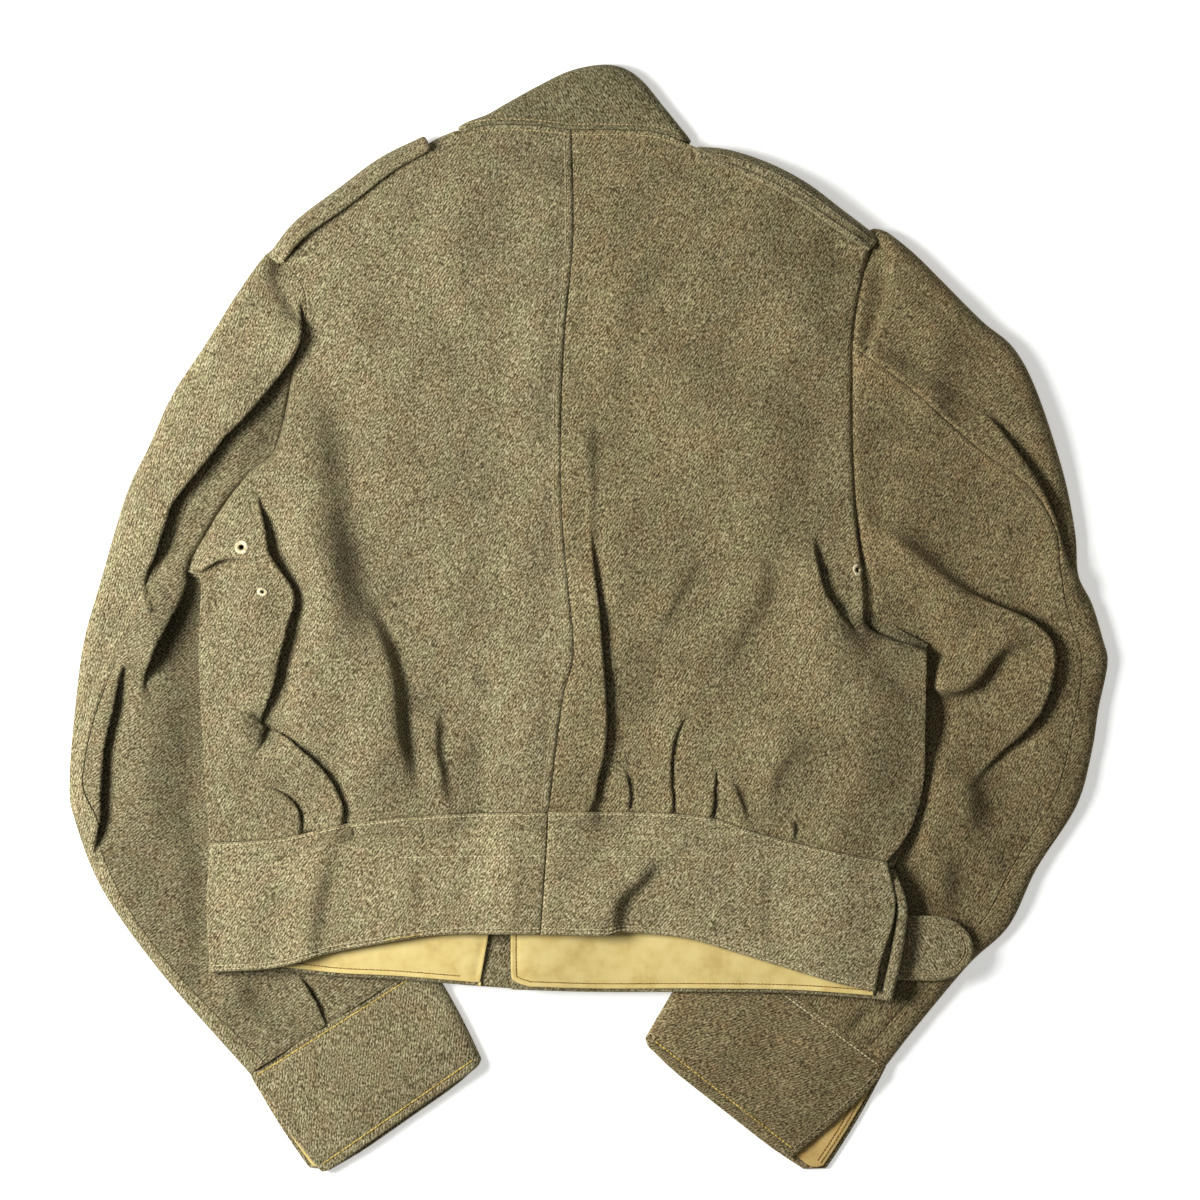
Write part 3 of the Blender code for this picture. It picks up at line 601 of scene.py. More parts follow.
BACK_WRINKLES: tuple[Wrinkle, ...] = (
    # Flap with the eyelets, at the left side
    Fold(height=5.5, steep=4, gentle=44, lean=7.5, trough=9, hollow=24, start=0.5, fade=0.22,
         route=((-212.5, -67), (-207.5, -47), (-204, -26), (-200.5, -13), (-197.5, 0), (-194, 10),
                (-194.5, 18), (-202, 29), (-210, 42), (-212, 55), (-212, 70), (-211.5, 87))),
    Fold(height=3.5, steep=14, gentle=24, start=0.2,
         route=((-208.5, -16), (-205, 5), (-212, 24.5), (-226.5, 37))),
    # Folds that run down into the left of the waist
    Fold(height=3, steep=2.5, gentle=26, lean=3.4, trough=5.5, hollow=13, start=0.7, end=0.4, fade=0.3,
         route=((-157.5, -133), (-160, -118.5), (-166.5, -106), (-176, -94), (-187.5, -84), (-197.5, -76),
                (-218.5, -63.5))),
    Fold(height=2, steep=2.2, gentle=16, lean=2.6, trough=3.5, hollow=9, start=0.6,
         route=((-185, -137), (-187.5, -125), (-194, -115.5), (-207, -108.5), (-216, -105.5))),
    Fold(height=8, steep=9, gentle=34, lean=0.5, trough=2, hollow=6, start=0.1, fade=0.3,
         route=((-107, -112), (-112, -89), (-116.5, -71.5), (-118, -52), (-119.5, -39), (-124, -21),
                (-131.5, -3), (-140.5, 16))),
    Fold(height=11, steep=24, gentle=42, fade=0.35,
         route=((-121, -28.5), (-130.5, -1.5), (-139, 18), (-144, 39), (-148, 65), (-152, 91), (-157, 120),
                (-163, 153), (-168, 179))),
    Fold(height=3.5, steep=7, gentle=18, lean=1.5, trough=1, start=0.4,
         route=((-87.5, -117), (-91.5, -97.5), (-94.5, -79.5), (-92.5, -52))),
    Fold(height=2, steep=8, gentle=18, route=((-59, -53.5), (-65.5, -40.5), (-75.5, -27.5))),
    # Long fold at the right of the centre back seam, soft in its upper part
    Fold(height=6.5, steep=4, gentle=34, lean=6.2, trough=4, hollow=10, start=0.55, fade=0.4,
         route=((3.5, -123), (5.5, -105.5), (9, -88), (10, -71), (9, -52), (7.5, -32), (5.5, -6), (4, 19),
                (3.5, 44), (3, 75))),
    Fold(height=4, steep=9, gentle=26, route=((9.5, 13), (9, 45.5), (8, 78), (7, 114), (5.5, 149.5))),
    # Pleats at the right of the waist
    Fold(height=2.4, steep=1.5, gentle=10, lean=1.8, trough=2, hollow=3, start=0.8,
         route=((27, -124), (26, -112), (25, -97))),
    Fold(height=3.2, steep=1.8, gentle=14, lean=2.2, trough=2.5, hollow=3.5, start=0.8,
         route=((55.5, -124), (53, -108), (53, -91), (56, -75), (66, -60))),
    Fold(height=3, steep=1.6, gentle=12, lean=2, trough=2.5, hollow=3, start=0.8,
         route=((80.5, -128), (80.5, -114), (81, -107), (84, -95))),
    Fold(height=2.5, steep=5, gentle=12, lean=1, trough=1, start=0.6,
         route=((104.5, -128.5), (101, -117), (94, -100))),
    Fold(height=2, steep=2.5, gentle=10, lean=1, trough=1, start=0.6, route=((134, -141.5), (134, -128))),
    Fold(height=2.5, steep=8, gentle=16, route=((127, -125), (126, -102.5), (136, -89.5), (162, -83))),
    # Valley beside the tongue at the right underarm, and the fold over the left one
    Fold(height=5, steep=5.5, gentle=26, lean=4, trough=3.5, hollow=9, start=0.8, fade=0.3,
         route=((203, -13), (186, -10.5), (176, -7), (163, 5), (152.5, 22), (149, 44), (151, 60))),
    Fold(height=2.5, steep=3, gentle=11, lean=2, start=0.5, fade=0.5,
         route=((178, -2), (179, 8), (178.5, 19), (174.5, 55), (172, 90.5))),
    Fold(height=7, steep=3, gentle=16, lean=5.5, trough=6, hollow=11, start=0.9, fade=0.6,
         route=((-265, 25.5), (-252, 34), (-241, 40.5), (-230, 39), (-217, 31))),
    # Diagonal folds and broad rises between them
    Fold(height=2.5, steep=7, gentle=24, route=((46.5, -19.5), (56, 4), (69, 26.5), (77.5, 45.5))),
    Fold(height=4.5, steep=13, gentle=30,
         route=((87, -50.5), (97, -29), (110, -6.5), (122.5, 14.5), (121, 35), (115.5, 55))),
    Crease(height=-6, wide=13, start=0.6, route=((167.5, 0), (176.5, -8), (192.5, -15.5), (212, -23.5))),
    Crease(height=4, wide=22, start=0.2, end=0.2, route=((-196, 95), (-173, 42), (-162, -19.5), (-147, -84))),
    Crease(height=-7, wide=15, route=((-229, -62.5), (-216, -66.5), (-200, -76), (-188, -89))),
    Crease(height=4, wide=26, route=((118, -60), (127, -110.5))),
    Crease(height=-2.5, wide=12, end=0.5, route=((1, 19.5), (-2.5, 58.5), (-2.5, 97.5))),
    Crease(height=-2.5, wide=14, end=0.5, route=((-51, -45.5), (-51, -80), (-49, -119.5))),
    Crease(height=-2, wide=12, end=0.5, route=((-70, -66.5), (-68, -95), (-66, -122))),
    Crease(height=-2, wide=16, route=((60, 250), (30, 190), (20, 120))),
    Crease(height=-2, wide=18, route=((-120, 240), (-90, 190), (-70, 130))),
)

BAND_WRINKLES: tuple[Wrinkle, ...] = (
    Fold(height=8, steep=9, gentle=30, start=0.6, end=0.3,
         route=((23, -201.5), (24.5, -184.5), (36, -173), (51, -158.5))),
    Fold(height=5, steep=12, gentle=26, start=0.7, end=0.4,
         route=((-171.5, -219.5), (-168, -185), (-158.5, -146))),
    Fold(height=1.4, steep=9, gentle=22, start=0.5, route=((-109.5, -201.5), (-107, -175.5), (-109, -149.5))),
    Fold(height=1.6, steep=9, gentle=22, start=0.5, route=((121, -214.5), (116.5, -182), (122, -156))),
    Crease(height=1.6, wide=12, start=0.7, end=0.6, route=((-52.5, -201.5), (-50.5, -169), (-52.5, -136.5))),
    Crease(height=1.4, wide=20, start=0.5, end=0.5, route=((-226.5, -221), (-223.5, -185), (-226.5, -156))),
)

LEFT_WRINKLES: tuple[Wrinkle, ...] = (
    # Flap of the top sleeve over the under sleeve
    Fold(height=12, steep=5, gentle=34, lean=7.5, trough=5, hollow=18, start=0.2, fade=0.16,
         route=((-285.5, 18), (-285, 30), (-282, 41.5), (-280.5, 51.5), (-276.5, 63), (-272, 76),
                (-262.5, 89), (-246.5, 108.5), (-237, 121), (-224.5, 133), (-210.5, 149.5), (-193.5, 172),
                (-187, 188.5), (-185, 203), (-185.5, 214.5))),
    # Roll of the under sleeve below the armhole
    Fold(height=12, steep=3.5, gentle=20, lean=7, trough=8, hollow=28, start=0.15, end=0.9, fade=0.3,
         route=((-287, -43), (-287, -28.5), (-283.5, -15.5), (-273.5, 3), (-267, 15.5), (-263, 26))),
    # Slit behind the outer strip
    Fold(height=6.5, steep=3, gentle=12, lean=5.5, trough=7, hollow=14, start=0.05, end=0.4, fade=0.25,
         route=((-319.5, -157.5), (-319, -127), (-317.5, -92.5), (-315, -75), (-311.5, -61), (-308, -49.5),
                (-305, -40.5), (-302, -31))),
    # Pleat above the cuff, a valley beside it, and the slopes down to the armhole and the body
    Fold(height=4.5, steep=2.6, gentle=14, lean=3.4, trough=2.5, hollow=7, start=0.6,
         route=((-172, -258.5), (-177, -249.5), (-182.5, -240), (-187, -229))),
    Crease(height=-5, wide=12, start=0.4, route=((-200, -263), (-212, -248.5), (-226.5, -237))),
    Crease(height=-5, wide=20, route=((-236.5, 75), (-216, 97.5), (-203, 117), (-194, 149.5))),
    Crease(height=-8, wide=36, start=1, end=0.5,
           route=((-250.5, 15.5), (-250.5, -19.5), (-251, -65), (-252, -120))),
    Crease(height=-5, wide=18, start=0.3, end=0.8, route=((-252.5, -91), (-250, -162.5), (-247.5, -232.5))),
    Crease(height=3, wide=20, route=((-290, -60), (-288.5, -110.5), (-280, -165))),
)

RIGHT_WRINKLES: tuple[Wrinkle, ...] = (
    # Fold of the under sleeve over the outer strip, from the sleeve head to the elbow
    Fold(height=6, steep=6, gentle=24, lean=4.5, trough=3, hollow=11, start=0.6, fade=0.45,
         route=((313, 34.5), (308, 50.5), (301.5, 70), (289.5, 92.5), (276.5, 112.5), (263.5, 131.5),
                (246.5, 147))),
    Fold(height=3.5, steep=12, gentle=24, route=((259.5, 138), (231.5, 156), (204, 173), (178, 190))),
    # Nose of the elbow with its soft upper side, and a smaller nose inside it
    Fold(height=8, steep=5.5, gentle=38, lean=6, trough=3.5, hollow=10, fade=0.4,
         route=((241, -117), (256, -101.5), (269, -86), (280, -75), (291.5, -60), (298, -45), (301.5, -29),
                (300.5, -17), (295.5, -9), (285.5, -0.5), (269, 8.5), (246.5, 21), (228.5, 35))),
    Fold(height=6, steep=13, gentle=34, lean=1.5, start=0.2, end=0.3,
         route=((267.5, 11.5), (246.5, 24), (227, 40.5), (204, 59), (180.5, 74))),
    Fold(height=3.5, steep=18, gentle=30,
         route=((274, 16), (251, 34), (227, 54.5), (205.5, 75.5), (189.5, 86))),
    Fold(height=9, steep=9, gentle=22, lean=3, trough=2, hollow=12, start=0.8, fade=0.5,
         route=((216, -47.5), (230, -50.5), (243, -49.5), (253, -44), (261, -35), (268, -26.5), (278, -23),
                (293.5, -21))),
    # Crevice beside the body, and a crease above the cuff
    Crease(height=-4, wide=6, start=0.9, route=((183, -6), (183, 10), (181, 26), (177, 50))),
    Crease(height=-9, wide=8, start=1, end=0.6, route=((222.5, -22), (222, -45), (222, -69))),
    Crease(height=3, wide=12, start=0.5, end=0.6,
           route=((229, -75), (228, -104.5), (220, -138), (208, -158))),
    Crease(height=-6, wide=14, route=((228.5, -45.5), (227, -62.5), (224, -88.5))),
    Crease(height=-3.5, wide=8, end=0.4, route=((186, -249), (179.5, -258), (166, -269))),
    # Broad rises and valleys
    Fold(height=4, steep=14, gentle=26, start=0.2, route=((261, -136.5), (257.5, -110.5), (249.5, -91))),
    Crease(height=2.5, wide=18, route=((215, 215), (222, 160), (212, 89.5))),
    Crease(height=-2.5, wide=9, route=((180.5, 119.5), (215.5, 121), (243, 113))),
    Crease(height=-2.5, wide=9, route=((180.5, 97.5), (222, 96), (267.5, 89.5))),
    Crease(height=5, wide=30, start=0.3, end=0.7, route=((244, -78), (241, -110.5), (230, -148))),
    Crease(height=5, wide=17, start=0.5, end=0.6, route=((222, -150), (227, -166), (227, -186))),
    Crease(height=-2, wide=16, route=((300, -110), (280, -150), (255, -190))),
)

LEFT = Half(
    name="left",
    waist=((-26, -124), (-76, -125), (-112, -127), (-158, -132), (-200, -141), (-245, -144)),
    side=((-245, -144), (-248, -104), (-251, -52), (-252, -6), (-251, 22), (-254, 30), (-262, 31)),
    armhole=((-262, 31), (-239, 71), (-219, 96), (-204, 109), (-196, 136), (-190, 173), (-183, 196),
             (-185, 216), (-197, 232)),
    front_armhole=((-262, 31), (-232, 58), (-196, 100), (-178, 150), (-176, 190), (-180, 214),
                   (-197, 232)),
    neck=((-11, 318), (-38, 321), (-64, 321), (-87, 317)),
    front_neck=((-4, 268), (-35, 273), (-65, 290), (-87, 317)),
    shoulder=((-87, 317), (-103, 309), (-130, 290), (-156, 273), (-181, 251), (-197, 232)),
    front_edge=((-34, -160), (-20, 60), (-4, 268)),
    hem=((-31, -203), (-60, -203), (-99, -204), (-138, -210), (-169, -216), (-203, -225), (-245, -228)),
    band_end=((-245, -144), (-247, -185), (-245, -228)),
    front_hem=((-34, -240), (-73, -237), (-122, -233), (-161, -231), (-203, -227), (-245, -229)),
    front_waist=((-34, -160), (-122, -155), (-200, -150), (-245, -145)),
    front_end=((-245, -145), (-247, -186), (-245, -229)),
    outer=((-197, 232), (-206, 239), (-226, 213), (-248, 178), (-269, 146), (-284, 113), (-299, 81),
           (-316, 24), (-327, -16), (-333, -64), (-336, -105), (-333, -128), (-315, -174), (-277, -228),
           (-219, -294)),
    inner=((-262, 31), (-247, 25), (-238, 0), (-230, -38), (-190, -95), (-145, -152), (-118, -195),
           (-105, -222)),
    cuff=((-219, -294), (-176, -361), (-70, -287), (-105, -222)),
    hind_seam=((-191, 173), (-238, 115), (-280, 30), (-287, 14), (-297, -3), (-304, -19), (-315, -45),
               (-322, -66), (-327, -92), (-326, -118), (-304, -176), (-266, -230), (-209, -287)),
    seam_ends=-100.0,
    vent=0.04,
    facing=(0.17, 0.86),
    facing_lean=8.5,
    facing_round=1.5,
    strap_out=((-207, 238), (-190, 259), (-161, 281), (-135, 300), (-108, 313.5)),
    strap_width=12.0,
    armhole_shows=0.8,
    armhole_deep=5.0,
    sags=((-96, 313),),
    front_sags=((-96, 313),),
    front_low=1.0,
    sections=(Section(0.00, 7.0), Section(0.05, 12.0), Section(0.15, 13.0), Section(0.30, 12.0),
              Section(0.45, 10.0), Section(0.70, 9.0), Section(1.00, 8.5)),
    wrinkles=LEFT_WRINKLES,
)

RIGHT = Half(
    name="right",
    waist=((-26, -124), (7, -124), (54, -125), (82, -128), (105, -136), (135, -144), (167, -151),
           (193, -156)),
    side=((193, -156), (208, -136), (217, -105), (218, -69), (219, -20)),
    armhole=((219, -20), (196, -12), (180, -3), (180, 19), (175, 55), (172, 97), (171, 143), (172, 188),
             (177, 217), (182, 240)),
    front_armhole=((219, -20), (190, -5), (160, 45), (148, 100), (152, 190), (165, 226), (182, 240)),
    neck=((-11, 318), (20, 318), (46, 316), (66, 308)),
    front_neck=((-20, 268), (20, 271), (46, 286), (66, 308)),
    shoulder=((66, 308), (87, 299), (111, 289), (136, 276), (160, 258), (182, 240)),
    front_edge=((-50, -160), (-36, 60), (-20, 268)),
    hem=((-31, -203), (12, -204), (22, -202), (59, -205), (89, -213), (135, -227), (161, -234.5),
         (185.5, -240)),
    band_end=((193, -156), (197, -172), (198.5, -185), (196, -199), (191, -214), (187.5, -226),
              (185.5, -240)),
    front_hem=((-50, -239), (7, -241), (72, -241), (137, -242), (196, -246)),
    front_waist=((-50, -160), (30, -158), (110, -160), (198, -161)),
    front_end=((198, -161), (204, -175.5), (206.5, -188), (205, -202), (202.5, -218), (199.5, -232),
               (196, -246)),
    outer=((182, 240), (182, 252), (191, 252), (200, 246), (213, 235), (230, 218), (255, 193), (275, 176),
           (290, 148), (307, 96), (315, 56), (317, 29), (326, 10), (333, -13), (336, -28), (330, -58),
           (326, -84), (316, -120), (290, -161), (272, -198), (246, -223), (210, -266), (193, -288)),
    inner=((219, -20), (210, -42), (196, -74), (150, -138), (103, -182), (82, -205)),
    cuff=((193, -288), (149, -362), (37, -274), (82, -205)),
    hind_seam=((172, 178), (205, 153), (230, 131), (255, 109), (279, 88), (293, 70), (301, 52),
               (304, 30), (312, 2), (320, -28), (313, -75), (302, -115), (276, -158), (258, -192),
               (235, -216), (178, -279)),
    seam_ends=24.0,
    vent=0.16,
    facing=(0.0, 0.962),
    facing_lean=0.0,
    facing_round=10.0,
    strap_out=((72, 307), (91, 305), (116, 297), (141, 284), (165, 266), (187.5, 249)),
    strap_width=13.0,
    armhole_shows=1.1,
    armhole_deep=2.8,
    sags=(),
    front_sags=((217, -19),),
    front_low=8.2,
    sections=(Section(0.00, 7.0), Section(0.05, 12.0), Section(0.15, 13.0), Section(0.30, 12.0),
              Section(0.42, 10.0), Section(0.70, 9.0), Section(1.00, 8.5)),
    wrinkles=RIGHT_WRINKLES,
)


def windows(raster: Array, axis: int, size: int, mode: str) -> list[Array]:
    """Copies of a raster, each moved along one axis.

    Args:
        raster: Values, one a cell.
        axis: Axis to move along.
        size: Most cells moved, either way.
        mode: What numpy's pad puts past the edge.

    Returns:
        The moved copies, as large as the raster.
    """
    padded = np.pad(raster, [(size, size) if axis == i else (0, 0) for i in (0, 1)], mode=mode)
    count = raster.shape[axis]
    return [np.take(padded, np.arange(k, k + count), axis) for k in range(2 * size + 1)]


class Ground:
    """Height of everything laid so far, on a raster over the plan."""

    cell = 2.0
    reach = (380.0, 400.0)

    def __init__(self) -> None:
        """Start with a bare floor."""
        self.columns = int(2 * self.reach[0] / self.cell) + 1
        self.rows = int(2 * self.reach[1] / self.cell) + 1
        self.height = np.zeros((self.rows, self.columns))
        self.tent = self.height.copy()

    def mask(self, loop: Array) -> Array:
        """Cells that lie inside an outline."""
        x = np.arange(self.columns) * self.cell - self.reach[0]
        y = np.arange(self.rows) * self.cell - self.reach[1]
        places = np.stack(np.meshgrid(x, y), -1).reshape(-1, 2)
        return inside(loop, places).reshape(self.rows, self.columns)

    def lay(self, points: Array, faces: Array, within: Array | None = None) -> None:
        """Add the upper face of a sheet.

        Args:
            points: Points of the face.
            faces: Triangles between them.
            within: Cells to keep to, where the rest of the sheet carries nothing.
        """
        corners = points[faces]
        sides = np.linalg.norm((corners - np.roll(corners, 1, axis=1))[..., :2], axis=-1)
        steps = int(np.ceil(np.percentile(sides, 99) / (0.8 * self.cell)))
        added = np.zeros_like(self.height)
        for i in range(steps + 1):
            for j in range(steps + 1 - i):
                weight = np.array([i, j, steps - i - j]) / steps
                dots = (corners * weight[None, :, None]).sum(1)
                column = np.rint((dots[:, 0] + self.reach[0]) / self.cell).astype(int)
                row = np.rint((dots[:, 1] + self.reach[1]) / self.cell).astype(int)
                np.maximum.at(added, (row, column), dots[:, 2])
        if within is not None:
            added = added * within
        self.height = np.maximum(self.height, added)

    def settle(self, reach: float) -> None:
        """Span what lies below as cloth does: highest value within reach, then softened within it.

        Args:
            reach: Distance, in mm.
        """
        size = max(2, int(np.ceil(reach / self.cell)))
        tent = self.height
        for axis in (0, 1):
            tent = np.max(windows(tent, axis, size, "constant"), 0)
        for axis in (0, 1, 0, 1):
            tent = np.mean(windows(tent, axis, size // 2, "edge"), 0)
        self.tent = np.maximum(tent, self.height)

    def rest(self, plan: Array, wall: float) -> Array:
        """Middle height of a sheet with this wall lying at places on the plan."""
        column = np.clip((plan[:, 0] + self.reach[0]) / self.cell, 0, self.columns - 1.001)
        row = np.clip((plan[:, 1] + self.reach[1]) / self.cell, 0, self.rows - 1.001)
        i = row.astype(int)
        j = column.astype(int)
        a = row - i
        b = column - j
        low = self.tent[i, j] * (1 - b) + self.tent[i, j + 1] * b
        high = self.tent[i + 1, j] * (1 - b) + self.tent[i + 1, j + 1] * b
        under = low * (1 - a) + high * a
        return under + LAY_GAP * np.clip(under / 2.0, 0.0, 1.0) + wall / 2


def linear(colour: str) -> tuple[float, float, float, float]:
    """Linear colour with full opacity from an sRGB hex value such as "8a7d5c"."""
    value = np.array([int(colour[i:i + 2], 16) for i in (0, 2, 4)]) / 255.0
    value = np.where(value <= 0.04045, value / 12.92, ((value + 0.055) / 1.055) ** 2.4)
    return (*value.tolist(), 1.0)


def plug(tree: bpy.types.NodeTree, made: bpy.types.Node, inputs: dict[Any, Any]) -> None:
    """Fill sockets of a node.

    Args:
        tree: Nodes of the material.
        made: The node.
        inputs: Sockets by name or number, linked where the value is an output and set where it isn't.
    """
    for name, value in inputs.items():
        if isinstance(value, bpy.types.NodeSocket):
            tree.links.new(value, made.inputs[name])
        else:
            made.inputs[name].default_value = value


def node(tree: bpy.types.NodeTree, kind: str, inputs: dict[Any, Any] | None = None,
         stops: tuple[tuple[float, tuple[float, ...]], ...] = (), **settings: Any) -> bpy.types.Node:
    """Add a node to a material.

    Args:
        tree: Nodes of the material.
        kind: Type of the node.
        inputs: Sockets by name or number, with outputs to link or values to set.
        stops: Places and linear colours of a colour ramp.
        settings: Properties of the node.

    Returns:
        The node.
    """
    made = tree.nodes.new(kind)
    for name, value in settings.items():
        setattr(made, name, value)
    plug(tree, made, inputs or {})
    for number, (place, colour) in enumerate(stops):
        ramp = made.color_ramp.elements
        stop = ramp[number] if number < 2 else ramp.new(place)
        stop.position = place
        stop.color = colour
    return made


class Finish:
    """What a piece is made of."""

    def material(self, name: str) -> bpy.types.Material:
        """Build the material for one piece.

        Args:
            name: Name of the material.

        Returns:
            The material.
        """
        made = bpy.data.materials.new(name)
        made.use_nodes = True
        self.dress(made.node_tree, made.node_tree.nodes["Principled BSDF"])
        return made

    def dress(self, tree: bpy.types.NodeTree, shader: bpy.types.Node) -> None:
        """Add the nodes of this finish to a new material and set its shader."""
        raise NotImplementedError


@dataclass(frozen=True)
class WoolSerge(Finish):
    """Heathered wool serge: dark, olive and pale fibres mixed in one yarn, with a napped twill face."""

    twill: float = 58.0
    # Gain: the wool's own shade, and painted light and shade that make pieces lying in more light paler and
    # pieces in less light darker
    gain: float = 1.0
    tint: str = "ffffff"
    dark: str = "3e3520"
    deep: str = "5e5334"
    body: str = "847958"
    light: str = "a89e7d"
    pale: str = "cdc4a4"
    brown: str = "866d4b"
    green: str = "7c7c57"

    def dyed_and_shaded(self, colour: str) -> tuple[float, ...]:
        """Linear colour of a fibre in this piece's tint, scaled by its gain: the dye lot, and painted light
        and shade where the piece lies in more or less light.
        """
        return (*(np.array(linear(colour)[:3]) * np.array(linear(self.tint)[:3]) * self.gain).tolist(), 1.0)

    def dress(self, tree: bpy.types.NodeTree, shader: bpy.types.Node) -> None:
        """Add the nodes of this finish to a new material and set its shader."""
        place = node(tree, "ShaderNodeTexCoord").outputs["Object"]
        turn = (0.0, 0.0, math.radians(self.twill - 90.0))

        def pattern(across: float, along: float, detail: float, offset: float) -> bpy.types.NodeSocket:
            """Uneven flecks of a size in millimetres across and along the twill line."""
            scale = (across / METRE, along / METRE, across / METRE)
            local = node(tree, "ShaderNodeMapping", {"Vector": place, "Rotation": turn, "Scale": scale},
                         vector_type="TEXTURE")
            noise = {"Vector": local.outputs[0], "Scale": 1.0, "Detail": detail, "Roughness": 0.6,
                     "W": offset}
            return node(tree, "ShaderNodeTexNoise", noise, noise_dimensions="4D").outputs[0]

        # Twill: broken ribs 1.7 mm apart, as fine as shows, with fibres in short flecks along them, the salt
        # and pepper of the heather
        fleck = pattern(0.78, 1.7, 0.9, 0.0)
        local = node(tree, "ShaderNodeMapping", {"Vector": place, "Rotation": turn, "Scale": (0.0017,) * 3},
                     vector_type="TEXTURE")
        ribs = node(tree, "ShaderNodeTexWave", {"Vector": local.outputs[0], "Scale": math.pi / 10,
                                                "Distortion": 3.0, "Detail": 1.0, "Detail Scale": 1.2})
        mixed = node(tree, "ShaderNodeMath", {0: ribs.outputs[1], 1: 0.1, 2: fleck}, operation="MULTIPLY_ADD")
        yarn = node(tree, "ShaderNodeValToRGB", {0: mixed.outputs[0]}, stops=(
            (0.36, self.dyed_and_shaded(self.dark)), (0.45, self.dyed_and_shaded(self.deep)), (0.55, self.dyed_and_shaded(self.body)),
            (0.65, self.dyed_and_shaded(self.light)), (0.76, self.dyed_and_shaded(self.pale))))
        # Browner and greener areas, a centimetre or two wide
        tuft = node(tree, "ShaderNodeValToRGB", {0: pattern(12.0, 17.0, 2.0, 7.0)}, stops=(
            (0.34, linear(self.brown)), (0.5, linear(self.body)), (0.66, linear(self.green))))
        tinted = node(tree, "ShaderNodeMix", {0: 0.3, 6: yarn.outputs[0], 7: tuft.outputs[0]},
                      data_type="RGBA", blend_type="COLOR")
        # Wear and handling: broad lighter and darker areas. Painted light and shade: crests painted pale and
        # creases painted dark, with the listed areas of painted shade and light, all from one attribute
        broad = node(tree, "ShaderNodeMapRange",
                     {0: pattern(45.0, 60.0, 2.0, 3.0), 1: 0.3, 2: 0.7, 3: 0.86, 4: 1.12})
        rub = node(tree, "ShaderNodeAttribute", attribute_name="rub")
        painted_shading = node(tree, "ShaderNodeMapRange", {0: rub.outputs["Fac"], 1: -1.0, 2: 1.0, 3: 0.4, 4: 1.25})
        tone = node(tree, "ShaderNodeMath", {0: broad.outputs[0], 1: painted_shading.outputs[0]}, operation="MULTIPLY")
        colour = node(tree, "ShaderNodeMix", {0: 1.0, 6: tinted.outputs[2], 7: tone.outputs[0]},
                      data_type="RGBA", blend_type="MULTIPLY")
        bump = node(tree, "ShaderNodeBump", {"Height": mixed.outputs[0], "Strength": 0.5, "Distance": 0.0006})
        plug(tree, shader, {"Base Color": colour.outputs[2], "Normal": bump.outputs[0], "Roughness": 0.95,
                            "Specular IOR Level": 0.15, "Sheen Weight": 0.12, "Sheen Roughness": 0.6,
                            "Sheen Tint": linear("d8cfa8")})


@dataclass(frozen=True)
class CottonDrill(Finish):
    """Sandy cotton drill: a smooth close weave, a little creased and stained."""

    pale: str = "e0cb87"
    body: str = "d8c17b"
    warm: str = "cbb16c"

    def dress(self, tree: bpy.types.NodeTree, shader: bpy.types.Node) -> None:
        """Add the nodes of this finish to a new material and set its shader."""
        place = node(tree, "ShaderNodeTexCoord").outputs["Object"]
        stain = node(tree, "ShaderNodeTexNoise", {"Vector": place, "Scale": 90.0, "Detail": 3.0})
        tone = node(tree, "ShaderNodeValToRGB", {0: stain.outputs[0]}, stops=(
            (0.30, linear(self.warm)), (0.46, linear(self.body)), (0.66, linear(self.pale))))
        # Weave of 0.8 mm, about twice as coarse as the cloth's, so that it shows
        local = node(tree, "ShaderNodeMapping", {"Vector": place, "Rotation": (0.0, 0.0, math.radians(-25.0)),
                                                 "Scale": (0.0008,) * 3}, vector_type="TEXTURE")
        weave = node(tree, "ShaderNodeTexWave",
                     {"Vector": local.outputs[0], "Scale": math.pi / 10, "Distortion": 1.0})
        shade = node(tree, "ShaderNodeMapRange", {0: weave.outputs[1], 3: 0.93, 4: 1.04})
        # Painted light and shade from the attribute shared with the wool: crests paler, creases darker
        rub = node(tree, "ShaderNodeAttribute", attribute_name="rub")
        painted_shading = node(tree, "ShaderNodeMapRange", {0: rub.outputs["Fac"], 1: -1.0, 2: 1.0, 3: 0.8, 4: 1.15})
        both = node(tree, "ShaderNodeMath", {0: shade.outputs[0], 1: painted_shading.outputs[0]}, operation="MULTIPLY")
        colour = node(tree, "ShaderNodeMix", {0: 1.0, 6: tone.outputs[0], 7: both.outputs[0]},
                      data_type="RGBA", blend_type="MULTIPLY")
        bump = node(tree, "ShaderNodeBump", {"Height": weave.outputs[1], "Strength": 0.3, "Distance": 0.0003})
        plug(tree, shader, {"Base Color": colour.outputs[2], "Normal": bump.outputs[0], "Roughness": 0.85,
                            "Specular IOR Level": 0.25})


@dataclass(frozen=True)
class Thread(Finish):
    """Sewing thread: twisted cotton with a low sheen."""

    colour: str
    dull: str

    def dress(self, tree: bpy.types.NodeTree, shader: bpy.types.Node) -> None:
        """Add the nodes of this finish to a new material and set its shader."""
        place = node(tree, "ShaderNodeTexCoord").outputs["Object"]
        uneven = node(tree, "ShaderNodeTexNoise", {"Vector": place, "Scale": 260.0, "Detail": 2.0})
        tone = node(tree, "ShaderNodeValToRGB", {0: uneven.outputs[0]}, stops=(
            (0.35, linear(self.dull)), (0.62, linear(self.colour))))
        plug(tree, shader, {"Base Color": tone.outputs[0], "Roughness": 0.7, "Specular IOR Level": 0.3})


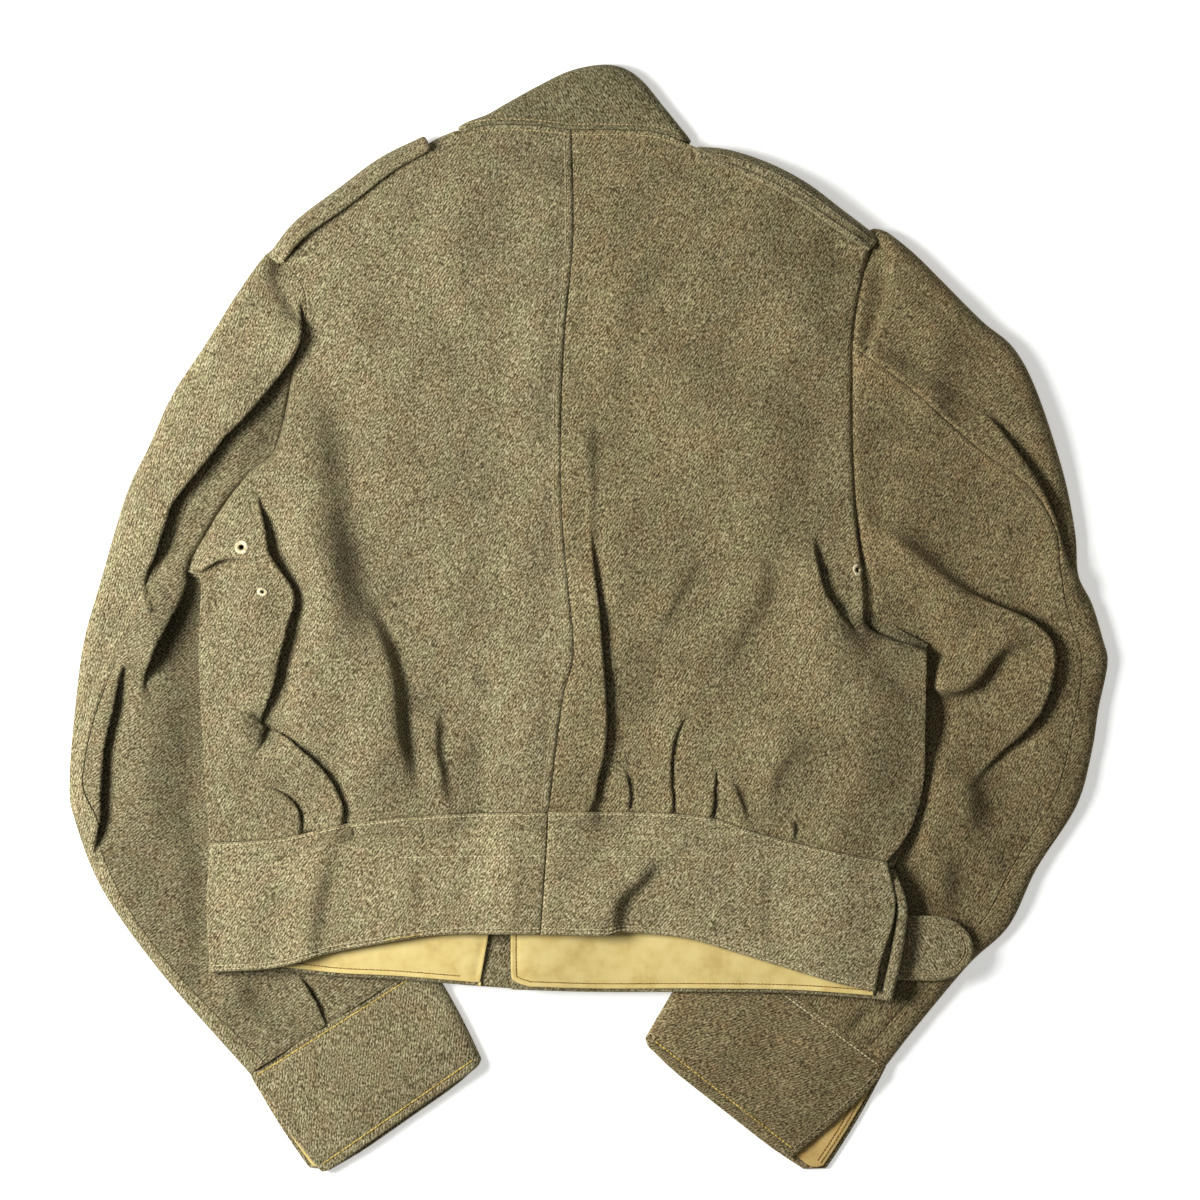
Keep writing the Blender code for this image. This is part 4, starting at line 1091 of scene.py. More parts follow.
@dataclass(frozen=True)
class Paper(Finish):
    """Plain pale floor of a studio: matt, lit a little from below, with no pattern."""

    colour: str = "f4f4f2"
    glow: float = 0.5

    def dress(self, tree: bpy.types.NodeTree, shader: bpy.types.Node) -> None:
        """Set the shader of the floor."""
        colour = linear(self.colour)
        plug(tree, shader, {"Base Color": colour, "Emission Color": colour, "Emission Strength": self.glow,
                            "Roughness": 1.0, "Specular IOR Level": 0.0})


@dataclass(frozen=True)
class Cut:
    """How a piece was cut and how it lies: flat width, length and area in metres, and what is under it."""

    width: float
    length: float
    area: float
    held: Held
    rests_on: tuple[str, ...]


# Twill line of each piece, in degrees from +X, as the cut turns it, and its shade of wool, whose gain also
# paints light and shade: paler for pieces in more light, darker for pieces in less
FINISHES: dict[str, Finish] = {
    "left_top_sleeve": WoolSerge(twill=70.0),
    "left_under_sleeve": WoolSerge(twill=40.0, gain=0.81),
    "right_top_sleeve": WoolSerge(twill=50.0, gain=0.86, tint="fff3e4"),
    "right_under_sleeve": WoolSerge(twill=62.0, gain=0.88, tint="fff3e4"),
    "back_right": WoolSerge(gain=0.97, tint="fffaf2"),
    "left_cuff": WoolSerge(twill=84.0, gain=1.02),
    "right_cuff": WoolSerge(twill=20.0, gain=0.88, tint="fff3e6"),
    "left_cuff_facing": CottonDrill(),
    # Darker drill on the right cuff: painted shade, as the right side of the tunic lies in less light
    "right_cuff_facing": CottonDrill("d3b576", "c9aa68", "b9975a"),
    "waistband_facing_left": CottonDrill(),
    "waistband_facing_right": CottonDrill(),
    "collar": WoolSerge(twill=120.0, gain=0.76, tint="fafffa"),
    "waist_tab": WoolSerge(twill=122.0, gain=1.1),
    "waistband_back_left": WoolSerge(twill=55.0, gain=1.2),
    "waistband_back_right": WoolSerge(twill=48.0, gain=1.24),
}


def link_mesh(name: str, points: Array, faces: list[Any], finish: Finish) -> bpy.types.Object:
    """Make an object at the origin from points in millimetres and faces, with smooth shading.

    Args:
        name: Name of the piece.
        points: Points, in mm.
        faces: Lists of point numbers.
        finish: What it is made of.

    Returns:
        The object.
    """
    mesh = bpy.data.meshes.new(name)
    mesh.from_pydata((points / METRE).tolist(), [], faces)
    mesh.materials.append(finish.material(name + "_finish"))
    mesh.polygons.foreach_set("use_smooth", np.ones(len(mesh.polygons), bool))
    mesh.update()
    made = bpy.data.objects.new(name, mesh)
    bpy.context.scene.collection.objects.link(made)
    return made


def average(values: Array, start: Array, end: Array) -> Array:
    """Mean of the values at the points joined to each point."""
    total = np.zeros_like(values)
    count = np.zeros(len(values))
    np.add.at(total, start, values[end])
    np.add.at(total, end, values[start])
    np.add.at(count, start, 1.0)
    np.add.at(count, end, 1.0)
    return total / np.maximum(count, 1.0).reshape((-1,) + (1,) * (values.ndim - 1))


@dataclass
class Workroom:
    """Where the pieces are laid: the ground under the body, the cover of the sleeves and what is made."""

    ground: Ground = field(default_factory=Ground)
    cover: Ground = field(default_factory=Ground)
    pieces: dict[str, bpy.types.Object] = field(default_factory=dict)
    sewing: dict[str, list[bpy.types.Object]] = field(default_factory=dict)
    trees: dict[str, BVHTree] = field(default_factory=dict)
    drop_from: float = 0.2

    def sew(self, name: str, points: Array, faces: Array, wall: float, bulge: float | None = None) -> Array:
        """Close a middle surface into a wall of cloth with round edges.

        The two faces lie half a wall from the middle surface along its normal. Rings of points on half an
        ellipse, as tall as the wall and as wide as the bulge, close the rim.

        Args:
            name: CAD node that the piece stands for.
            points: Points of the middle surface, in mm.
            faces: Its faces.
            wall: Thickness, in mm.
            bulge: How far the rim stands out, in mm.

        Returns:
            Points of the upper face.
        """
        bulge = 0.45 * wall if bulge is None else bulge
        count = len(points)
        corners = points[faces]
        flat = np.cross(corners[:, 1] - corners[:, 0], corners[:, -1] - corners[:, 0])
        normal = np.zeros_like(points)
        for corner in range(faces.shape[1]):
            np.add.at(normal, faces[:, corner], flat)
        normal = unit(normal)
        start = faces.ravel()
        end = np.roll(faces, -1, axis=1).ravel()
        lone = ~np.isin(start * count + end, end * count + start)
        first = start[lone]
        last = end[lone]
        out = np.zeros_like(points)
        side = np.cross(points[last] - points[first], normal[first] + normal[last])
        np.add.at(out, first, side)
        np.add.at(out, last, side)
        out = unit(out)
        rim = np.unique(first)
        place = np.zeros(count, int)
        place[rim] = np.arange(len(rim))
        front = points + normal * wall / 2
        back = points - normal * wall / 2
        turns = np.radians([52.0, 18.0, -18.0, -52.0])
        rings = [points[rim] + normal[rim] * wall / 2 * np.sin(turn) + out[rim] * bulge * np.cos(turn)
                 for turn in turns]
        base = 2 * count + len(rim) * np.arange(len(turns))
        levels = [(first, last)] + [(b + place[first], b + place[last]) for b in base]
        levels.append((first + count, last + count))
        sides = [np.stack([high[1], high[0], low[0], low[1]], 1) for high, low in zip(levels, levels[1:])]
        shown = faces.tolist() + (faces[:, ::-1] + count).tolist() + np.vstack(sides).tolist()
        made = link_mesh("cloth_" + name, np.vstack([front, back, *rings]), shown,
                         FINISHES.get(name, WoolSerge()))
        # Painted light and shade: paler crests and darker creases from the bend, the listed areas of painted
        # shade and light, and rims painted paler as a painted highlight
        rub = self.shading_from_bend(points, normal, start, end) + swelled(PAINTED_SHADE_AND_LIGHT, points[:, :2])
        rub = np.concatenate([rub, rub] + [rub[rim] + 0.25] * len(turns))
        made.data.attributes.new("rub", "FLOAT", "POINT").data.foreach_set("value", rub.astype(np.float32))
        self.pieces[name] = made
        self.sewing[name] = []
        LOG.info("%s: %d faces", made.name, len(made.data.polygons))
        return np.where(front[:, 2:] > back[:, 2:], front, back)

    @staticmethod
    def shading_from_bend(points: Array, normal: Array, start: Array, end: Array) -> Array:
        """Painted light and shade from the bend of the surface: above 0 on crests, which are painted paler,
        and below 0 in creases, which are painted darker as shade.
        """
        away = ((average(points, start, end) - points) * normal).sum(1)
        size = np.linalg.norm(points[start] - points[end], axis=1)
        long = np.zeros(len(points))
        count = np.zeros(len(points))
        np.add.at(long, start, size)
        np.add.at(count, start, 1.0)
        value = -away / np.maximum(long / np.maximum(count, 1.0), 0.5) ** 2
        value = average(average(value, start, end), start, end)
        return np.tanh(6.0 * value)

    def drop(self, name: str, plan: Array) -> tuple[Array, Array]:
        """Points of a piece's upper face straight under places on the plan.

        Args:
            name: CAD node that the piece stands for.
            plan: Places, one row each, in mm.

        Returns:
            Points in mm, and whether the piece was met at each place.
        """
        if name not in self.trees:
            mesh = self.pieces[name].data
            places = np.zeros(3 * len(mesh.vertices), np.float32)
            mesh.vertices.foreach_get("co", places)
            self.trees[name] = BVHTree.FromPolygons(places.reshape(-1, 3).tolist(),
                                                    [tuple(face.vertices) for face in mesh.polygons])
        tree = self.trees[name]
        down = Vector((0.0, 0.0, -1.0))
        hits = [tree.ray_cast(Vector((x / METRE, y / METRE, self.drop_from)), down)[0]
                for x, y in plan.tolist()]
        met = np.array([hit is not None for hit in hits])
        return np.array([tuple(hit) if hit else (0.0, 0.0, 0.0) for hit in hits]) * METRE, met

    def declare(self) -> None:
        """Parent each piece to the root, and hide the CAD part that it stands for."""
        for name, made in self.pieces.items():
            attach(made, "root")
            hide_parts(name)


def hold_back(points: Array, plan: Array, share: Array) -> None:
    """Leave only a share of the way that folds have moved points from their places."""
    points[:, :2] = plan + (points[:, :2] - plan) * share[:, None]


def sag(places: Route, plan: Array) -> Array:
    """Share by which cloth hangs down round places, from 1 on them to 0 at the reach of a sag."""
    weights = [smooth(1 - np.linalg.norm(plan - np.array(place), axis=1) / SAG_REACH) for place in places]
    return np.max([np.zeros(len(plan)), *weights], axis=0)


def armhole_ditch(half: Half, plan: Array) -> Array:
    """Depth of the ditch along the seam of the armhole, up to where it shows."""
    gap, share, _ = from_line(curve(half.armhole), plan)
    return half.armhole_deep * groove(gap, 0.0, 1.6) * smooth((half.armhole_shows - share) / 0.1)


def tie_to_armhole(half: Half, plan: Array, height: Array, reach: float) -> Array:
    """Draw heights near the armhole to the height of its seam."""
    gap, share, _ = from_line(curve(half.armhole), plan)
    seam = np.interp(share, ARMHOLE_SHARE, ARMHOLE_HEIGHT)
    return height + (seam - height) * smooth(1 - np.abs(gap) / reach)


@dataclass
class Sleeve:
    """Two-piece sleeve laid flat: the top sleeve round the outer fold, the under sleeve beside it."""

    half: Half
    room: Workroom
    body: Array
    step: float = 4.2
    low_step: float = 12.0
    turnings: float = 10.0
    parted: float = 1.1
    part_wide: float = 1.2
    tie: float = 16.0
    seed: int = 11

    def __post_init__(self) -> None:
        """Work out the seams on the plan."""
        self.outer = curve(self.half.outer)
        self.inner = curve(self.half.inner)
        self.armhole = curve(self.half.armhole)
        self.cuff_line = curve((self.half.cuff[0], self.half.cuff[3]))
        self.start = np.linalg.norm(self.armhole - self.half.hind_seam[0], axis=1).argmin()
        self.end = np.linalg.norm(self.cuff_line - self.half.hind_seam[-1], axis=1).argmin()
        route = np.vstack([self.armhole[self.start], self.half.hind_seam[1:-1], self.cuff_line[self.end]])
        self.hind = curve(route)

    def edge(self, plan: Array) -> Array:
        """Rounding towards the outer and inner edges, from 0 on them to 1."""
        return bend(near(self.outer, plan)) * bend(near(self.inner, plan))

    def rise(self, plan: Array) -> Array:
        """Height of the upper layer over the lower one."""
        share = from_line(self.outer, plan).share
        return np.interp(share, *zip(*self.half.sections))

    def form(self, plan: Array) -> Array:
        """Upper layer: half the rise above the middle, rounded to the edges, with folds and seam ditches."""
        edge = self.edge(plan)
        flat = SERGE / 2 + self.rise(plan) / 2 * (1 + edge) + edge * ripple(plan, self.seed, 1.1)
        flat = tie_to_armhole(self.half, plan, flat, self.tie)
        seam = smooth(near(self.armhole, plan) / 4.0)
        move = moved_by(self.half.wrinkles, plan) * (edge * seam)[:, None]
        gap = near(self.hind, plan)
        shows = smooth((plan[:, 1] - self.half.seam_ends) / 40.0)
        ridge = 1.3 * groove(gap, 2.4, 1.1) - 0.3 * groove(gap, 0.0, 1.0)
        height = np.maximum(flat + move[:, 2], 2 * SERGE + 0.5) + shows * ridge
        height = height - armhole_ditch(self.half, plan)
        return with_height(plan + move[:, :2], np.where(edge > 0.3, height, flat))

    def low_form(self, plan: Array) -> Array:
        """Lower layer: flat on the floor, rounded up to the edges, tightly at the shoulder."""
        tight = 0.3 + 0.7 * smooth(np.linalg.norm(plan - self.outer[0], axis=1) / 30.0)
        edge = bend(near(self.outer, plan) / tight) * bend(near(self.inner, plan))
        return with_height(plan, SERGE / 2 + self.rise(plan) / 2 * (1 - edge))

    def parting(self, plan: Array) -> Array:
        """Height by which the two layers part at the inner seam."""
        return self.parted * (near(self.inner, plan) < self.part_wide)

    def sew(self, name: str, points: Array, faces: Array) -> None:
        """Close one piece of the sleeve and lay it, under the body too."""
        face = self.room.sew(self.half.name + name, points, faces, SERGE, RIM)
        self.room.cover.lay(face, faces)
        self.room.ground.lay(face, faces, self.body)

    def build(self) -> None:
        """Make both pieces and lay them."""
        front = curve(self.half.front_armhole)
        if self.half.name == "right":
            share = np.linspace(0.0, 1.0, len(front))
            turnings = self.turnings * smooth(share / 0.05) * smooth(2.0 - share / 0.12)
            front = front - turnings[:, None] * right_of(front)
        gap = SEAM_GAP + RIM
        rows = both_sides(self.hind, (1.2, 2.4, 3.6, 5.0)) + both_sides(self.armhole, ARMHOLE_ROWS)
        folds = rows_of(self.half.wrinkles)
        loop = outline(self.armhole[self.start:][::-1], self.hind, self.cuff_line[self.end::-1],
                       self.outer[::-1])
        plan, faces = fill(draw_back(loop, gap, self.outer), self.step, folds + rolled(self.outer) + rows)
        loop = outline(front[::-1], self.inner, self.cuff_line[::-1], self.outer[::-1])
        low_plan, low_faces = fill(draw_back(loop, gap, self.outer), self.low_step,
                                   rolled(self.outer) + rolled(self.inner))
        low = self.low_form(low_plan)
        low[:, 2] -= self.parting(low_plan)
        self.sew("_top_sleeve", *fold_together(self.form(plan), faces, low, low_faces, self.outer))
        self.room.ground.lay(with_height(low_plan, np.full(len(low_plan), SERGE)), low_faces)

        loop = outline(self.armhole[:self.start + 1][::-1], self.inner, self.cuff_line[self.end:][::-1],
                       self.hind[::-1])
        plan, faces = fill(draw_back(loop, gap), self.step, folds + rolled(self.inner) + rows)
        points = self.form(plan)
        points[:, 2] += self.parting(plan)
        self.sew("_under_sleeve", points, faces)


@dataclass
class Cuff:
    """Cuff band folded at the inner edge and open in a vent at the outer edge, with its drill facing."""

    half: Half
    room: Workroom
    rise: float = 7.5
    deep: float = 80.0
    round_corner: float = 0.07
    seed: int = 23

    def place(self, share: Array) -> tuple[Array, Array]:
        """Places on the plan and the cuff's width there, from shares across it and down it."""
        corner = np.array(self.half.cuff, float)
        across = share[:, :1]
        down = share[:, 1:]
        drop = 0.1 * np.clip(1 - across / self.round_corner, 0.0, 1.0) ** 2
        drop = drop + 0.03 * np.clip(1 - (1 - across) / 0.04, 0.0, 1.0) ** 2
        down = 0.012 + (0.988 - drop) * down
        swell = 0.012 * np.sin(np.pi * down) * (2 * across - 1)
        outer = corner[0] + (corner[1] - corner[0]) * down
        inner = corner[3] + (corner[2] - corner[3]) * down
        width = np.linalg.norm(outer - inner, axis=1)
        return outer + (inner - outer) * (across + swell), width

    def form(self, share: Array, layer: Layer = Layer.UPPER) -> Array:
        """Leaf of the cuff: half the rise from the middle, rounded to the fold and lower at the vent."""
        plan, width = self.place(share)
        arch = bend((1 - share[:, 0]) * width)
        height = CUFF / 2 + self.rise / 2 * (1 + layer.value * arch)
        if layer is Layer.UPPER:
            height = height - 2.6 * smooth(1 - (share[:, 0] - self.half.vent * share[:, 1]) / 0.3)
            hem = (1 - share[:, 1]) * self.deep
            top = share[:, 1] * self.deep
            height = height + 1.2 * arch * np.sin(np.pi * share[:, 0]) * np.sin(np.pi * share[:, 1])
            height = height + arch * ripple(plan, self.seed)
            height = height - 0.8 * arch * (groove(hem, 4.5, 1.5) + groove(top, 2.2, 1.5))
        return with_height(plan, height)

    def opening(self, down: Array) -> Array:
        """Share of the width that the vent leaves open, from a point below the seam down to the hem."""
        return self.half.vent * (0.03 + 0.97 * np.clip((down - 0.12) / 0.88, 0.0, 1.0))

    def build(self) -> None:
        """Make the band and its facing, and lay the band."""
        down = np.concatenate([[0.0, 0.012, 0.027, 0.045], np.linspace(0.08, 0.9, 22),
                               [0.92, 0.935, 0.95, 0.97, 0.99, 1.0]])
        width = self.place(np.stack([np.full_like(down, 0.5), down], -1))[1]
        roll = np.array([0.0, 0.25, 1.0, 2.2, 3.8, 5.8, 8.0])[:, None] / width
        vent = self.opening(down)
        steps = np.linspace(0.0, 1.0, 30, endpoint=False)[:, None]
        over = np.vstack([vent + (1 - roll[-1] - vent) * steps, 1 - roll[::-1]])
        steps = np.linspace(0.0, 1.0, 12, endpoint=False)[::-1, None]
        under = np.vstack([1 - roll[1:], (1 - roll[-1]) * steps])
        rows = []
        for part, layer in ((over, Layer.UPPER), (under, Layer.LOWER)):
            below = 0.03 * smooth((1 - part) / 0.2) * smooth(part / 0.3) * (layer is Layer.LOWER)
            share = np.stack([part, down * (1 + below)], -1).reshape(-1, 2)
            rows.append(self.form(share, layer).reshape(*part.shape, 3))
        grid = np.concatenate(rows)
        quads = grid_faces(*grid.shape[:2])
        face = self.room.sew(self.half.name + "_cuff", grid.reshape(-1, 3), quads, CUFF)
        self.room.ground.lay(face, as_triangles(quads))

        across = np.linspace(0.014, self.half.vent + 0.08, 12)
        share = np.stack(np.meshgrid(across, np.linspace(0.05, 0.965, 26), indexing="ij"), -1)
        plan, _ = self.place(share.reshape(-1, 2))
        points = with_height(plan, np.full(len(plan), CUFF + 0.4 + DRILL / 2))
        self.room.sew(self.half.name + "_cuff_facing", points, grid_faces(*share.shape[:2]), DRILL)


def neck_seam(trim: int) -> Array:
    """Seam of the collar from left to right, without some points at both ends."""
    return np.vstack([curve(LEFT.neck, 3.0)[::-1], curve(RIGHT.neck, 3.0)[1:]])[trim:-trim]


@dataclass
class Collar:
    """Collar folded along its top edge, its outer leaf on the back and its inner leaf underneath."""

    room: Workroom
    rise: float = 8.0
    fold: float = 4.5
    seed: int = 31

    def __post_init__(self) -> None:
        """Work out the edges on the plan."""
        self.top = curve(COLLAR_TOP, 3.0)
        self.seam = neck_seam(2)

    def form(self, plan: Array, layer: Layer = Layer.UPPER) -> Array:
        """Leaf of the collar: half the rise above or below the middle, rounded to the top fold."""
        arch = bend(near(self.top, plan), self.fold)
        height = COLLAR / 2 + self.rise / 2 * (1 + layer.value * arch)
        if layer is Layer.UPPER:
            gap = near(self.seam, plan)
            swell = 1.6 * smooth(gap / 14.0) * smooth(near(self.top, plan) / 12.0)
            dip = 0.7 * groove(gap, 3.4, 1.2)
            height = height + swell - dip * arch + arch * ripple(plan, self.seed) * smooth(gap / 10.0)
        return with_height(plan, height)

    def leaf(self, edge: Array, layer: Layer, spacing: float, rows: list[Array]) -> tuple[Array, Array]:
        """Points and triangles of one leaf."""
        loop = outline(edge, np.array([edge[-1], self.top[-1]]), self.top[::-1],
                       np.array([self.top[0], edge[0]]))
        loop = draw_back(loop, SEAM_GAP + 0.45 * COLLAR, self.top)
        plan, faces = fill(loop, spacing, rows + rolled(self.top, self.fold))
        return self.form(plan, layer), faces

    def build(self) -> None:
        """Make the collar and lay its inner leaf."""
        rows = both_sides(self.seam, (2.0, 3.4, 4.8, 6.5))
        over, over_faces = self.leaf(self.seam, Layer.UPPER, 3.2, rows)
        low, low_faces = self.leaf(curve(COLLAR_UNDER), Layer.LOWER, 10.0, [])
        points, faces = fold_together(over, over_faces, low, low_faces, self.top)
        self.room.sew("collar", points, faces, COLLAR)
        low[:, 2] = np.where(low[:, 2] < COLLAR, low[:, 2] + COLLAR / 2, 0.0)
        self.room.ground.lay(low, low_faces)


@dataclass
class ShoulderStrap:
    """Shoulder strap bent round the shoulder edge: a narrow leaf on the back, a wide one under it."""

    half: Half
    room: Workroom
    top: float = 17.0
    hidden: float = 24.0
    fold: float = 7.4

    def __post_init__(self) -> None:
        """Work out the line of the fold, the width that shows and the height, lower at the sleeve."""
        self.line = curve(self.half.strap_out, 2.5)
        self.inward = right_of(self.line)
        self.share = np.linspace(0.0, 1.0, len(self.line))
        swell = 0.75 + 0.25 * np.sin(np.pi * self.share)
        self.shows = self.half.strap_width * swell - STRAP / 2
        root = self.share if self.half.name == "left" else 1 - self.share
        self.tops = self.top - 5.0 * smooth(1 - root / 0.1)

    def along(self, share: Array, values: Array) -> Array:
        """Values at the points of the fold, read at shares along it."""
        return np.interp(share[:, 0] * (len(self.line) - 1), np.arange(len(self.line)), values)

    def in_from_fold(self, share: Array, depth: Array, height: Array) -> Array:
        """Points at a depth inside the fold, from shares along and across the strap."""
        line, inward = (np.stack([self.along(share, column) for column in part.T], -1)
                        for part in (self.line, self.inward))
        return with_height(line + inward * (depth + STRAP / 2)[:, None], height)

    def form(self, share: Array) -> Array:
        """Leaf on the back: rounded from the fold, with two soft ridges along it."""
        depth = share[:, 1] * self.along(share, self.shows)
        top = self.along(share, self.tops)
        middle = (top + STRAP / 2) / 2
        height = middle + (top - middle) * bend(depth, self.fold)
        ridge = np.cos(2 * np.pi * 1.5 * share[:, 1]) * smooth(share[:, 1] / 0.3)
        height = height - 0.5 * ridge + 0.5 * np.sin(9.0 * share[:, 0] + 2.0)
        return self.in_from_fold(share, depth, height)

    def low_form(self, share: Array) -> Array:
        """Leaf under the shoulder: rounded down from the fold to the floor."""
        wide = self.hidden * smooth(np.minimum(share[:, 0], 1 - share[:, 0]) / 0.2 + 0.35)
        depth = share[:, 1] * wide
        middle = (self.along(share, self.tops) + STRAP / 2) / 2
        height = middle - (middle - STRAP / 2) * bend(depth, self.fold)
        return self.in_from_fold(share, depth, height)

    def build(self) -> None:
        """Make the strap and lay its leaf under the shoulder."""
        over = np.array([1.0, 0.9, 0.8, 0.68, 0.56, 0.44, 0.33, 0.23, 0.14, 0.07, 0.02, 0.0])
        below = np.array([0.01, 0.04, 0.1, 0.18, 0.3, 0.5, 0.75, 1.0])
        grids = []
        for across, form in ((over, self.form), (below, self.low_form)):
            share = np.stack(np.meshgrid(across, self.share, indexing="ij")[::-1], -1)
            grids.append(form(share.reshape(-1, 2)).reshape(*share.shape[:2], 3))
        grid = np.concatenate(grids)
        name = self.half.name + "_shoulder_strap"
        self.room.sew(name, grid.reshape(-1, 3), grid_faces(*grid.shape[:2]), STRAP)
        leaf = grid[len(over) + 4:].copy()
        leaf[..., 2] += STRAP / 2
        self.room.ground.lay(leaf.reshape(-1, 3), as_triangles(grid_faces(*leaf.shape[:2])))


@dataclass
class WaistTab:
    """Rounded waist tab that lies on the right sleeve."""

    room: Workroom
    root: tuple[float, float] = (199.0, -212.0)
    tip: tuple[float, float] = (249.0, -213.0)
    half_width: float = 21.0
    round_end: float = 26.0
    seed: int = 41

    def __post_init__(self) -> None:
        """Work out the outline."""
        root = np.array(self.root)
        way = np.array(self.tip) - root
        length = np.linalg.norm(way)
        way = way / length
        left = np.array([-way[1], way[0]])
        turn = np.linspace(-np.pi / 2, np.pi / 2, 40)
        end = root + (length - self.round_end + self.round_end * np.cos(turn))[:, None] * way
        end = end + self.half_width * np.sin(turn)[:, None] * left
        corner = curve((end[-1], root + self.half_width * left), 3.0)[1:]
        back = curve((root + self.half_width * left, root - self.half_width * left), 3.0)[1:]
        last = curve((root - self.half_width * left, end[0]), 3.0)[1:-1]
        self.loop = np.vstack([end, corner, back, last])

    def form(self, plan: Array) -> Array:
        """Lie on the sleeve, with a ditch under the edge stitching."""
        gap = near(closed(self.loop), plan)
        ditch = 0.7 * groove(gap, 3.8, 1.3)
        return with_height(plan, self.room.cover.rest(plan, BAND) + 1.0 - ditch + ripple(plan, self.seed))

    def build(self) -> None:
        """Make the tab and lay it."""
        self.room.cover.settle(14.0)
        rows = beside(closed(self.loop), (-2.2, -3.8, -5.4))
        plan, faces = fill(draw_back(self.loop, 0.4 * BAND), 3.2, rows)
        self.room.ground.lay(self.room.sew("waist_tab", self.form(plan), faces, BAND), faces)


@dataclass
class Front:
    """Plain front panel and front waistband with its facing, lying on the sleeves and the floor."""

    half: Half
    room: Workroom
    lap: float = 8.0
    lip_rise: float = 4.0
    lip_wide: float = 7.0
    facing_deep: float = 52.0
    facing_in: float = 2.5
    seed: int = 51

    def panel(self) -> tuple[Array, Array]:
        """Make the panel, and return its upper face and triangles."""
        half = self.half
        armhole = curve(half.front_armhole, 8.0)
        turn = -1.0 if half.name == "left" else 1.0
        share = np.linspace(0.0, 1.0, len(armhole))
        fade = smooth(3.0 * share + 0.6 * turn) * smooth(2.6 - 3.2 * share)
        armhole = armhole + (self.lap * turn * fade)[:, None] * right_of(armhole)
        waist = curve(half.front_waist, 8.0)
        side = curve((half.front_waist[-1],) + half.side[1:], 8.0)
        shoulder = curve(half.shoulder, 8.0)
        edge = curve(half.front_edge, 8.0)
        neck = curve(half.front_neck, 8.0)
        loop = outline(waist, side, armhole, shoulder[::-1], neck[::-1], edge[::-1])
        plan, faces = fill(draw_back(loop, 1.6), 10.0)
        points = with_height(plan, self.room.ground.rest(plan, SERGE))
        points[:, 2] += (half.front_low - points[:, 2]) * sag(half.front_sags, plan)
        return self.room.sew("front_" + half.name, points, faces, SERGE), faces

    def band(self) -> tuple[Array, Array]:
        """Make the waistband, its right end raised in a lip, and return its flat upper face and triangles."""
        half = self.half
        waist = curve(half.front_waist)
        hem = curve(half.front_hem)
        free = curve((half.front_waist[0], half.front_hem[0]))
        end = curve(half.front_end)
        loop = draw_back(outline(waist, end, hem[::-1], free[::-1]), 0.45 * BAND)
        rows = both_sides(end, (2.0, 3.6, 4.6, 5.6, 6.6, 7.6)) + both_sides(hem, (3.0, 6.0))
        plan, faces = fill(loop, 6.0, rows)
        lip = self.lip_rise * smooth((self.lip_wide - near(end, plan)) / 2.0) * (half.name == "right")
        lip = lip * smooth((np.linalg.norm(plan - end[0], axis=1) - 1.0) / 9.0)
        points = with_height(plan, self.room.ground.rest(plan, BAND) + lip)
        face = self.room.sew("waistband_front_" + half.name, points, faces, BAND)
        face[:, 2] -= lip
        return face, faces

    def facing_loop(self) -> Array:
        """Outline of the facing, with a rounded corner at its free end."""
        hem = curve(self.half.front_hem)
        first, last = self.half.facing
        low = hem[int(first * len(hem)):int(last * len(hem))]
        high = low + np.array([self.half.facing_lean, self.facing_deep])
        low = low + np.array([0.0, self.facing_in])
        corner = low[0]
        low = low[np.linalg.norm(low - corner, axis=1) >= self.half.facing_round]
        turn = np.sign(low[-1, 0] - corner[0])
        bends = corner + np.array([(0.29 * turn, 0.29), (0.0, 1.0)]) * self.half.facing_round
        left = curve((low[0], *bends, high[0]), 2.0)
        right = curve((low[-1], high[-1]))
        return outline(low, right, high[::-1], left[::-1])

    def facing_form(self, plan: Array) -> Array:
        """Lie on the waistband, with a ditch under the stitching inside the edge and small puckers."""
        gap = near(closed(self.facing_loop()), plan)
        ditch = 0.5 * groove(gap, 3.4, 1.2)
        pucker = 0.35 * ripple(plan * [2.2, 1.0], self.seed, 1.0) * smooth(1 - gap / 12.0)
        return with_height(plan, self.room.ground.rest(plan, DRILL) - ditch + np.abs(pucker))

    def build(self) -> None:
        """Make the three pieces and lay them."""
        self.room.ground.settle(40.0)
        panel, panel_faces = self.panel()
        band, band_faces = self.band()
        self.room.ground.lay(panel, panel_faces)
        self.room.ground.lay(band, band_faces)
        self.room.ground.settle(5.0)
        loop = self.facing_loop()
        plan, faces = fill(draw_back(loop, 0.45 * DRILL), 4.0, both_sides(closed(loop), (1.8, 3.4, 5.0)))
        facing = self.room.sew("waistband_facing_" + self.half.name, self.facing_form(plan), faces, DRILL)
        self.room.ground.lay(facing, faces)


